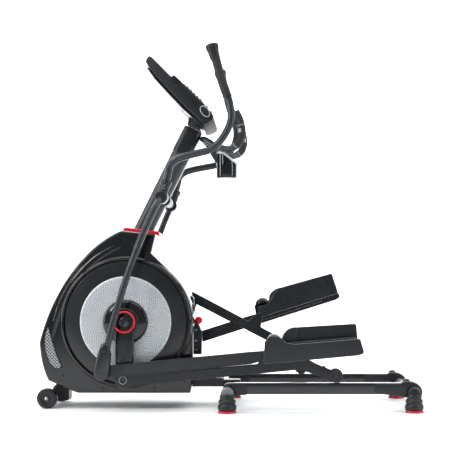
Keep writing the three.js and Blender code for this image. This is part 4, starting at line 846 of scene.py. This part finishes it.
# ---- Foot arms and pedals ----
# A deep flat steel arm runs back from the swing arm and bolts under a moulded pedal.
# The pedal has a skirt, a raised toe, a tall inner guard and a cushioned, ribbed tread.
tread_rubber = moulded("cushioned_tread_rubber", "#17181a", "#222427", 0.62, 1.6, depth=0.6)
pedal_abs = moulded("satin_black_pedal_abs", "#101216", "#1a1d22", 0.24, 1.0, depth=0.12, coat=0.5, coat_roughness=0.12)
toe, heel = 715, 1141
pedal_lift = 30
for side, hand in ((-1, "left"), (1, "right")):
    axis = "Y" if side > 0 else "-Y"
    pin, roller, leg, foot, lean, swing = linkage(side)
    place = (foot.x, foot.y, lean)
    body = "foot_" + hand
    arm_line = arc(0, 0, 30, 66, 294, 20) + [(649, -27), (709, -16), (1043, -16), (1043, 25), (709, 25), (649, 27)]
    own(prism("foot_arm_bar_" + hand, arm_line, side * 267, side * 296, leg_steel, 4, place), body,
        "black_painted_steel", "foot_arm_" + hand)
    inlay = [(96, -19), (600, -19), (606, -14), (606, 14), (600, 19), (96, 19), (90, 14), (90, -14)]
    own(prism("foot_arm_inlay_" + hand, inlay, side * 295, side * 297.4, disc_black, 1, place), body, "black_plastic")
    c, s = math.cos(lean), math.sin(lean)
    place = (foot.x - pedal_lift * s, foot.y + pedal_lift * c, lean)
    skirt = [(toe - 16, -52), (toe - 10, -60), (heel - 30, -62), (heel - 10, -58), (heel - 2, -50), (heel - 12, 6),
             (heel - 20, 10), (toe + 130, 14), (toe + 96, 22), (toe + 74, 44), (toe + 58, 56), (toe + 34, 60),
             (toe + 14, 52), (toe + 2, 34)]
    own(prism("pedal_skirt_" + hand, skirt, side * 333, side * 346, pedal_abs, 5, place), body, "black_plastic",
        "pedal_" + hand)
    inner_skirt = [(toe + 10, -28), (heel - 20, -32), (heel - 14, -24), (heel - 14, 68), (heel - 22, 72),
                   (toe + 142, 82), (toe + 128, 78), (toe + 66, 24), (toe + 20, 24)]
    own(prism("pedal_inner_guard_" + hand, inner_skirt, side * 212.6, side * 222, pedal_abs, 4, place), body,
        "black_plastic")
    # The toe cup is a smooth hump across the whole pedal, rounded towards both sides.
    cup_rows = []
    for y, grow in ((224, -16), (228, -7), (238, -1), (250, 0), (316, 0), (324, -1), (330, -6), (334, -14)):
        ring = [(toe + 2, 36)] + arc(toe + 42, 28, 36 + grow, 168, 20, 12) + [(toe + 92, 15), (toe + 60, 37)]
        cup_rows.append([(place[0] + x * c - z * s, side * y, place[1] + x * s + z * c) for x, z in ring])
    own(lofted("pedal_toe_cup_" + hand, cup_rows, pedal_abs, 50), body, "black_plastic")
    nose = [(toe + 75, 12), (toe + 147, 12), (toe + 147, 78), (toe + 141, 84), (toe + 122, 82), (toe + 102, 74),
            (toe + 86, 60), (toe + 77, 40)]
    own(prism("pedal_guard_nose_" + hand, nose, side * 222.3, side * 242, pedal_abs, 6, place), body,
        "black_plastic")
    bed = [(toe + 58, -1), (heel - 12, -1), (heel - 10, 8), (toe + 94, 13), (toe + 66, 13)]
    own(prism("pedal_bed_" + hand, bed, side * 221, side * 334, pedal_abs, 2, place), body, "black_plastic")
    front_wall = [(toe - 10, -52), (toe - 2, -52), (toe + 8, 34), (toe, 34)]
    own(prism("pedal_front_wall_" + hand, front_wall, side * 300, side * 334, pedal_abs, 2, place), body,
        "black_plastic")
    heel_wall = [(heel - 16, -54), (heel - 6, -50), (heel - 12, 7), (heel - 20, 7)]
    own(prism("pedal_heel_wall_" + hand, heel_wall, side * 300, side * 334, pedal_abs, 2, place), body,
        "black_plastic")
    tread = [(toe + 100, 12.6), (heel - 24, 8), (heel - 24, 13), (heel - 30, 15), (toe + 108, 19.6), (toe + 101, 17)]
    own(prism("pedal_tread_" + hand, tread, side * 227, side * 328, tread_rubber, 2, place), body, "rubber")
    ribs, rib_ends = [], []
    for k in range(20):
        x = toe + 114 + k * 14.6
        z = 19.8 - 4.4 * (k / 19)
        for y in (234, 321):
            ribs.append((place[0] + x * c - z * s, side * y, place[1] + x * s + z * c))
        rib_ends.append((len(ribs) - 2, len(ribs) - 1))
    own(grown("pedal_tread_ribs_" + hand, bar_tree, {"Bar width": 0.004, "Bar depth": 0.003, "Finish": tread_rubber},
              ribs, rib_ends), body, "rubber")


# ---- Swing arms ----
# One bent steel tube each side, from the mast's pivot axle outwards and down to the foot arm.
# Charcoal powder coat, with a moulded teardrop cover round the lower joint.
def swept(name, path, radii, material, count=28, smooth_angle=50):
    """A round tube through path points, bent smoothly, with a radius given for each point."""
    points, sizes = [], []
    for k in range(len(path) - 1):
        a, b, c, d = (Vector(path[max(0, min(len(path) - 1, k + j))]) for j in (-1, 0, 1, 2))
        for i in range(8):
            t = i / 8
            points.append(0.5 * (2 * b + (c - a) * t + (2 * a - 5 * b + 4 * c - d) * t ** 2
                                 + (3 * b - a - 3 * c + d) * t ** 3))
            sizes.append(radii[k] + (radii[k + 1] - radii[k]) * t)
    points.append(Vector(path[-1]))
    sizes.append(radii[-1])
    ways = [(points[min(i + 1, len(points) - 1)] - points[max(i - 1, 0)]).normalized() for i in range(len(points))]
    across = ways[0].orthogonal().normalized()
    rings = []
    for i, (point, way) in enumerate(zip(points, ways)):
        across = (across - way * across.dot(way)).normalized()
        second = way.cross(across)
        turns = [2 * math.pi * j / count for j in range(count)]
        rings.append([point + (across * math.cos(t) + second * math.sin(t)) * sizes[i] for t in turns])
    return lofted(name, rings, material, smooth_angle)


def turned_about(x, z, angle, points):
    """Points (x, y, z) turned in the side view by an angle and moved to (x, z)."""
    c, s = math.cos(angle), math.sin(angle)
    return [(x + p[0] * c - p[2] * s, p[1], z + p[0] * s + p[2] * c) for p in points]


swing_length = 811
arm_charcoal = powder_coat("gloss_charcoal_powder_coat", "#202327", "#2d3136", 0.24)
for side, hand in ((-1, "left"), (1, "right")):
    axis = "Y" if side > 0 else "-Y"
    body = "arm_" + hand
    pin, roller, leg, foot, lean, swing = linkage(side)
    drop = [(0, 214, -8), (-8, 238, -0.07), (-14, 256, -0.15), (-20, 288, -0.28), (-24, 303, -0.46),
            (-22, 309, -0.62), (-17, 312, -0.78), (-8, 312, -0.9), (0, 312, -0.975)]
    drop = [(x, side * y, z if z < -2 else z * swing_length) for x, y, z in drop]
    own(swept("swing_arm_tube_" + hand, turned_about(pivot.x, pivot.z, -swing, drop), [15] * len(drop), arm_charcoal),
        body, "grey_painted_steel", "swing_arm_" + hand)
    at = (pivot.x, 0, pivot.z)
    sleeve = [(17, 180), (29, 180), (30, 181.4), (30, 218.6), (29, 220), (17, 220), (17, 180)]
    own(lathe("swing_pivot_sleeve_" + hand, sleeve, at, axis, arm_charcoal, 56), body, "grey_painted_steel")
    cap = [(0, 220.4), (27, 220.4), (28, 222), (27, 224.6), (22, 226.6), (12, 227.6), (0, 228)]
    own(lathe("swing_pivot_cap_" + hand, cap, at, axis, gloss_black, 56, 60), body, "black_plastic")
    eye_line = [(11, 299), (26, 299), (27, 300), (27, 324), (26, 325), (11, 325), (11, 299)]
    own(lathe("swing_arm_eye_" + hand, eye_line, (foot.x, 0, foot.y), axis, arm_charcoal, 56), body,
        "grey_painted_steel")
    pin_line = [(0, 262), (10, 262), (10, 328), (9, 329), (0, 329)]
    own(lathe("swing_lower_pin_" + hand, pin_line, (foot.x, 0, foot.y), axis, turned_steel, 40), body, "steel")
    # The teardrop cover is two moulded shells, deeper at the joint and drawn in towards the tube.
    tear = arc(0, 0, 34, 196, 344, 16) + [(31, 16), (24, 48), (14, 88), (-6, 124), (-24, 130), (-38, 122), (-42, 84),
                                          (-39, 34)]
    rows = []
    for y, shrink in ((297.8, 5), (299.4, 2), (302, 0), (318, 0), (325, 1.5), (329, 5), (331.4, 11), (332.4, 17)):
        line = inset(tear, shrink) if shrink else tear
        rows.append(turned_about(foot.x, foot.y, -swing, [(x, side * y, z) for x, z in line]))
    own(lofted("swing_joint_cover_" + hand, rows, pedal_abs, 50), body, "black_plastic")
    screws = turned_about(foot.x, foot.y, -swing, [(0, side * 331.4, 0), (-18, side * 331.4, 92)])
    own(grown("swing_cover_screws_" + hand, screw_tree, {"Head radius": 0.0065, "Head height": 0.004,
              "Socket depth": 0.0025, "Finish": black_screw}, screws, (), [(0, side, 0)] * 2), body, "steel")


# ---- Moving handlebars and grips ----
# Bent tubes clamp into the swing arms' sockets, each held by two bolts.
# Foam rubber grips slide over the upper ends and flare into a thumb rest at the top.
def grip_rubber():
    """Moulded foam rubber with a diamond knurl 2 mm across, drawn at 3.4 mm, and darker where it is held."""
    made, tree, where = blank("knurled_grip_rubber")
    first = put(tree, "ShaderNodeTexWave", {"Vector": where, "Scale": 1 / 0.0034 / 20 * 6.2832}, wave_type="BANDS",
                bands_direction="DIAGONAL")
    cells = put(tree, "ShaderNodeTexVoronoi", {"Vector": where, "Scale": 1 / 0.0034})
    rough = put(tree, "ShaderNodeTexNoise", {"Vector": where, "Scale": 1 / 0.03, "Detail": 5.0})
    both = put(tree, "ShaderNodeMath", {0: first.outputs["Fac"], 1: cells.outputs["Distance"]}, operation="ADD")
    bump = put(tree, "ShaderNodeBump", {"Height": both.outputs[0], "Strength": 0.35, "Distance": 0.0006})
    close(tree, Base_Color=mixed(tree, rough.outputs["Fac"], "#0c0d0e", "#191a1c"), Normal=bump.outputs[0],
          Roughness=spread(tree, rough.outputs["Fac"], 0.5, 0.68))
    return made


knurl = grip_rubber()
for side, hand in ((-1, "left"), (1, "right")):
    axis = "Y" if side > 0 else "-Y"
    body = "arm_" + hand
    pin, roller, leg, foot, lean, swing = linkage(side)
    tilt = swing - math.radians(17.4)
    start = math.radians(17.4)
    rise = [(68 * math.sin(start), 200, 68 * math.cos(start)), (30, 202.4, 104), (38, 206, 138), (58, 210, 160),
            (92, 214, 176), (165, 224, 194), (207, 229.5, 204), (241, 234, 223), (270, 237.6, 254), (296, 240, 297),
            (309, 240, 336), (311, 240, 368), (304, 240, 415), (293, 240, 447)]
    rise = turned_about(pivot.x, pivot.z, -tilt, [(x, side * y, z) for x, y, z in rise])
    own(swept("handlebar_tube_" + hand, rise, [16.4] * len(rise), arm_charcoal), body, "grey_painted_steel",
        "handlebar_" + hand)
    c, s = math.cos(-swing), math.sin(-swing)
    socket_axis = ((c, 0, s), (-s, 0, c), (0, 1, 0))
    socket_line = [(17, 24), (22, 24), (22, 56), (24.5, 58), (25.5, 62), (25.5, 76), (24.5, 79), (21, 80), (17, 80),
                   (17, 24)]
    own(lathe("handlebar_socket_" + hand, socket_line, (pivot.x, side * 200, pivot.z), socket_axis, nylon, 48),
        body, "black_plastic")
    bolts = turned_about(pivot.x, pivot.z, -swing, [(0, side * 222, 40), (0, side * 222, 52)])
    own(grown("handlebar_bolts_" + hand, screw_tree, {"Head radius": 0.0058, "Head height": 0.0045,
              "Socket depth": 0.003, "Finish": zinc}, bolts, (), [(0, side, 0)] * 2), body, "steel")
    grasp = [(292, 240, 449), (284, 240, 470), (276, 240, 492), (263, 240, 536), (250, 240, 579), (240, 240, 618),
             (231, 240, 655)]
    grasp = turned_about(pivot.x, pivot.z, -tilt, [(x, side * y, z) for x, y, z in grasp])
    own(swept("handlebar_grip_" + hand, grasp, [19, 20.5, 20.2, 19.6, 20, 20.5, 20.5], knurl, 40), body, "rubber",
        "grip_" + hand)
    lean_back = 0.26 - tilt
    c, s = math.cos(lean_back), math.sin(lean_back)
    flare_at = turned_about(pivot.x, pivot.z, -tilt, [(240, side * 240, 606)])[0]
    flare_line = [(20.9, 0), (22.5, 8), (24.5, 32), (29.4, 53), (30, 57), (29.6, 61.6), (27, 66), (22, 68.6),
                  (12, 69.8), (0, 70)]
    own(lathe("grip_flare_" + hand, flare_line, flare_at, ((c, 0, s), (-s, 0, c), (0, 1, 0)), boot_rubber, 56, 60),
        body, "rubber")
    collar_line = [(16.6, -3), (19.6, -2.4), (20.2, 0), (20.2, 8), (19.6, 10.4), (16.6, 11), (16.6, -3)]
    c, s = math.cos(0.34 - tilt), math.sin(0.34 - tilt)
    own(lathe("grip_collar_" + hand, collar_line, turned_about(pivot.x, pivot.z, -tilt, [(296, side * 240, 438)])[0],
              ((c, 0, s), (-s, 0, c), (0, 1, 0)), nylon, 48), body, "black_plastic")


# ---- Console ----
# A moulded black housing leans back on the mast head, with the display behind a dark window above the keys.
# A steel bracket bolts it to the mast, and silver trim runs round its lower corners.
head_x = pivot.x + 131.2
head_z = 1290


def at_head(points):
    """Points (x, y, z) given from the mast head, moved to where the head is."""
    return [(head_x + p[0], p[1], head_z + p[2]) for p in points]


def pillow(name, line, half, edge, material, smooth_angle=50):
    """A side-view outline pushed across both ways, with its side edges rolled over."""
    rows = []
    for out, shrink in ((0, 1.0), (0.18, 0.55), (0.5, 0.18), (1.0, 0.0)):
        rows.append([(p[0], -half + out * edge, p[1]) for p in inset(line, shrink * edge)])
    rows += [[(x, -y, z) for x, y, z in row] for row in reversed(rows)]
    return lofted(name, [at_head(row) for row in rows], material, smooth_angle)


def along_face(start, end, share, off):
    """A point a share of the way from start to end, lifted off the line on its left side."""
    way = (Vector(end) - Vector(start))
    left = Vector((-way.y, way.x)).normalized()
    return Vector(start) + way * share - left * off


def screen_glass():
    """Dark glass over a liquid-crystal panel: a soft green-grey field in a black surround, with a faint mesh."""
    made, tree, where = blank("smoked_display_window")
    mist = put(tree, "ShaderNodeTexNoise", {"Vector": where, "Scale": 1 / 0.06, "Detail": 2.0})
    lines = put(tree, "ShaderNodeTexVoronoi", {"Vector": where, "Scale": 1 / 0.0024})
    bump = put(tree, "ShaderNodeBump", {"Height": lines.outputs["Distance"], "Strength": 0.02, "Distance": 0.0001})
    close(tree, Base_Color=mixed(tree, mist.outputs["Fac"], "#0b1014", "#141b20"), Normal=bump.outputs[0],
          Roughness=spread(tree, mist.outputs["Fac"], 0.06, 0.14), Coat_Weight=1.0, Coat_Roughness=0.03)
    return made


console_line = [(97, 12), (97, 28), (45, 92), (-43, 178), (-50, 186), (-78, 212), (-94, 205), (-184, 296), (-191, 297),
                (-199, 292), (-205, 282), (-207, 270), (-198, 256), (-160, 206), (-111, 153), (-33, 70), (19, 24),
                (34, 6), (51, -10), (70, -4)]
glass = screen_glass()
console_abs = moulded("matt_black_console_abs", "#0e1013", "#16181c", 0.46, 1.0, depth=0.2)
own(pillow("console_shell", console_line, 165, 9, console_abs), "frame", "black_plastic", "console_housing")
back_line = [(40, -12), (52, -18), (20, 22), (-33, 66), (-111, 149), (-160, 202), (-199, 252), (-204, 246),
             (-168, 196), (-119, 142), (-41, 60), (10, 14)]
own(prism("console_back_plate", back_line[::-1], -146, 146, disc_black, 2, (head_x, head_z, 0)), "frame",
    "black_plastic")
screen_line = [(-93.5, 211.2), (-180, 298.8), (-183, 295.8), (-96.5, 208.2)]
own(prism("display_window", screen_line, -118, 118, glass, 1, (head_x, head_z, 0)), "frame", "screen",
    "console_screen")
key_line = [(94.4, 37.6), (48.4, 95.4), (-38, 180.2), (-40, 177.6), (46, 93.6), (92, 36)]
own(prism("keypad_plate", key_line, -130, 130, disc_black, 0.8, (head_x, head_z, 0)), "frame", "black_plastic",
    "console_keypad")
lower, upper = ((92, 38.6), (50, 92)), ((46, 96.4), (-36, 177.4))
keys, key_ends = [], []
for (start, end), shares in ((lower, (0.28, 0.72)), (upper, (0.14, 0.32, 0.5, 0.68, 0.86))):
    for share in shares:
        x, z = along_face(start, end, share, 3.2)
        for y in (-108, -76, -44, 16, 48, 80):
            keys += at_head([(x, y, z), (x, y + 22, z)])
            key_ends.append((len(keys) - 2, len(keys) - 1))
own(grown("console_keys", bar_tree, {"Bar width": 0.008, "Bar depth": 0.008, "Finish": cap_grey}, keys, key_ends),
    "frame", "grey_plastic")
bracket_line = [(-54, 87), (-62, 78), (-24, 42), (-30, 8.5), (34, -22), (14, 22)]
own(prism("console_bracket_steel", bracket_line, -44, 44, charcoal, 2, (head_x, head_z, 0)), "frame",
    "grey_painted_steel", "console_bracket")
for side, hand in ((-1, "left"), (1, "right")):
    lens = [(60 + 26 * math.cos(t) * 0.62 - 15 * math.sin(t) * 0.78, 46 - 26 * math.cos(t) * 0.78
             - 15 * math.sin(t) * 0.62) for t in (2 * math.pi * k / 28 for k in range(28))]
    lens.reverse()
    own(prism("console_silver_trim_" + hand, inset(lens, -3.2), side * 162, side * 166.6, silver, 1,
              (head_x, head_z, 0)), "frame", "silver_paint")
    own(prism("console_corner_lens_" + hand, lens, side * 164, side * 168, glass, 1.4, (head_x, head_z, 0)),
        "frame", "black_plastic")
    step = [(-46, 180), (-78, 209), (-90, 200), (-102, 190), (-70, 158)]
    own(prism("console_cheek_" + hand, step, side * 160, side * 166.4, disc_black, 1.6, (head_x, head_z, 0)),
        "frame", "black_plastic")
    spots = at_head([(-20, side * 45, 24), (10, side * 45, 4), (-44, side * 45, 76)])
    own(grown("bracket_screws_" + hand, screw_tree, {"Head radius": 0.006, "Head height": 0.004,
              "Socket depth": 0.0025, "Finish": black_screw}, spots, (), [(0, side, 0)] * 3), "frame", "steel")


# ---- Fixed handlebar ----
# One bent tube is clamped to the mast head and curls forwards and up on both sides.
# Foam grips hold split pulse plates of polished steel, with a grey ring at each end.
fixed_side = [(40, 0, -55), (50, 34, -61), (72, 54, -76), (100, 74, -95), (132, 94, -108), (165, 112, -115),
              (194, 130, -106), (215, 140, -85), (225, 145, -54), (224, 146, -20), (214, 143, 18), (198, 140, 50)]
whole = [(x, -y, z) for x, y, z in reversed(fixed_side)] + fixed_side[1:]
own(swept("fixed_handlebar_tube", at_head(whole), [15.4] * len(whole), arm_charcoal), "frame", "grey_painted_steel",
    "fixed_handlebar")
for side, hand in ((-1, "left"), (1, "right")):
    half = [(x, side * y, z) for x, y, z in fixed_side]
    own(swept("fixed_grip_" + hand, at_head(half[6:]), [17.2] * 5 + [16.4], knurl, 32), "frame", "rubber")
    for part_name, first, second in (("lower", 6, 7), ("upper", 9, 10)):
        a, b = Vector(half[first]), Vector(half[second])
        ring_at = Vector(at_head([a.lerp(b, 0.15)])[0])
        way = (b - a).normalized()
        across = way.orthogonal().normalized()
        ring_line = [(16.8, -4), (18, -3.4), (18.4, -2), (18.4, 2), (18, 3.4), (16.8, 4), (16.8, -4)]
        own(lathe("pulse_ring_" + part_name + "_" + hand, ring_line, ring_at, (across, way, way.cross(across)),
                  cap_grey, 44), "frame", "grey_plastic")
    plate = [Vector(half[8]).lerp(Vector(half[9]), t) for t in (0.25, 0.5, 0.75)]
    own(swept("pulse_plate_" + hand, at_head(plate), [17.6] * 3, zinc, 36), "frame", "steel")


# ---- Cup holder ----
# A gloss moulded cup hangs on a tab below the fixed handlebar.
# Its mouth slants towards the rider and carries a silver lip band.
cup_x = head_x + 150
cup_base, cup_depth, cup_radius = 1054, 124, 49


def slanted(radius, share, lift=0):
    """A ring of the cup at a share of its height, where the mouth follows the slanted plane."""
    ring = []
    for k in range(56):
        t = 2 * math.pi * k / 56
        x = radius * math.cos(t)
        top = cup_depth - 2 - max(0, (x + 20)) * 74 / 99
        ring.append((cup_x + x, radius * math.sin(t), cup_base + top * share + lift))
    return ring


cup_rings = [[(cup_x + r * math.cos(2 * math.pi * k / 56), r * math.sin(2 * math.pi * k / 56), cup_base + h)
              for k in range(56)] for r, h in ((30, 0.4), (42, 0.4), (46, 2), (48, 6))]
cup_rings += [slanted(48.2, 0.3), slanted(48.4, 0.6), slanted(48.6, 0.97), slanted(48, 1.0), slanted(46.4, 1.0),
              slanted(45.8, 0.97), slanted(45.4, 0.4)]
cup_rings += [[(cup_x + r * math.cos(2 * math.pi * k / 56), r * math.sin(2 * math.pi * k / 56), cup_base + h)
               for k in range(56)] for r, h in ((45, 8), (43, 5), (30, 4))]
own(lofted("cup_holder_shell", cup_rings, gloss_black, 50), "frame", "gloss_black_plastic", "cup_holder")
lip = [slanted(48.7, 1.0, -10), slanted(49.8, 1.0, -9), slanted(50.4, 1.0, -5), slanted(50.2, 1.0, 0),
       slanted(48.6, 1.0, 2), slanted(46, 1.0, 1.4), slanted(45.6, 1.0, -1), slanted(46.6, 1.0, -2),
       slanted(47.4, 1.0, -9), slanted(48.7, 1.0, -10)]
own(lofted("cup_lip_band", lip, silver, 60, False), "frame", "silver_paint")
tab_line = [(56, -74), (56, -92), (100, -164), (110, -168), (112, -160), (112, -112), (70, -76)]
own(prism("cup_holder_tab", tab_line, -18, 18, charcoal, 2, (head_x, head_z, 0)), "frame", "black_plastic")


# ---- Pull knob, its post and the power inlet ----
# A ribbed red knob pulls a spring pin through a steel post that stands on the frame's spine.
# The inlet is a barrel socket for the low-voltage lead, at the front of the machine.
knob_at = middle("pull_knob")
knob_line = [(0, -17), (8, -17), (9, -16), (9, -6), (15, -4), (16.4, 0), (17, 6), (16.6, 12), (15, 15.4), (11, 17),
             (0, 17.4)]
own(lathe("red_knob", knob_line, tuple(knob_at), "-Y", red_plastic, 64, 50), "knob", "red_plastic", "pull_knob")
flutes, flute_ends = [], []
for k in range(14):
    t = 2 * math.pi * k / 14
    x, z = knob_at.x + 16.4 * math.cos(t), knob_at.z + 16.4 * math.sin(t)
    flutes += [(x, knob_at.y - 1, z), (x, knob_at.y - 13, z)]
    flute_ends.append((len(flutes) - 2, len(flutes) - 1))
own(grown("red_knob_ribs", bar_tree, {"Bar width": 0.0026, "Bar depth": 0.0026, "Finish": red_plastic}, flutes,
          flute_ends), "knob", "red_plastic")
post_line = [(-128, 236), (-126, 338), (-140, 372), (-156, 404), (-160, 452), (-166, 500), (-176, 510), (-184, 498),
             (-182, 300), (-170, 236)]
own(prism("knob_post", post_line, -26, 26, leg_steel, 4), "frame", "black_painted_steel")
post_screws = [(-168, -26.4, 470), (-152, -26.4, 350), (-152, -26.4, 300), (-152, -26.4, 258)]
own(grown("knob_post_screws", screw_tree, {"Head radius": 0.006, "Head height": 0.004, "Socket depth": 0.0025,
          "Finish": zinc}, post_screws, (), [(0, -1, 0)] * 4), "frame", "steel")
inlet_at = middle("power_inlet")
inlet_line = [(0, -1.6), (3.2, -1.6), (3.2, 4), (7, 4), (8.6, 3.4), (9, 2), (9, -5), (0, -5)]
own(lathe("power_inlet_socket", inlet_line, tuple(inlet_at), "-X", nylon, 40), "frame", "black_plastic",
    "power_inlet")
own(lathe("power_inlet_pin", [(0, -1.4), (1.1, -1.4), (1.1, 2.6), (0.7, 3.2), (0, 3.2)], tuple(inlet_at), "-X",
          zinc, 20), "frame", "steel")
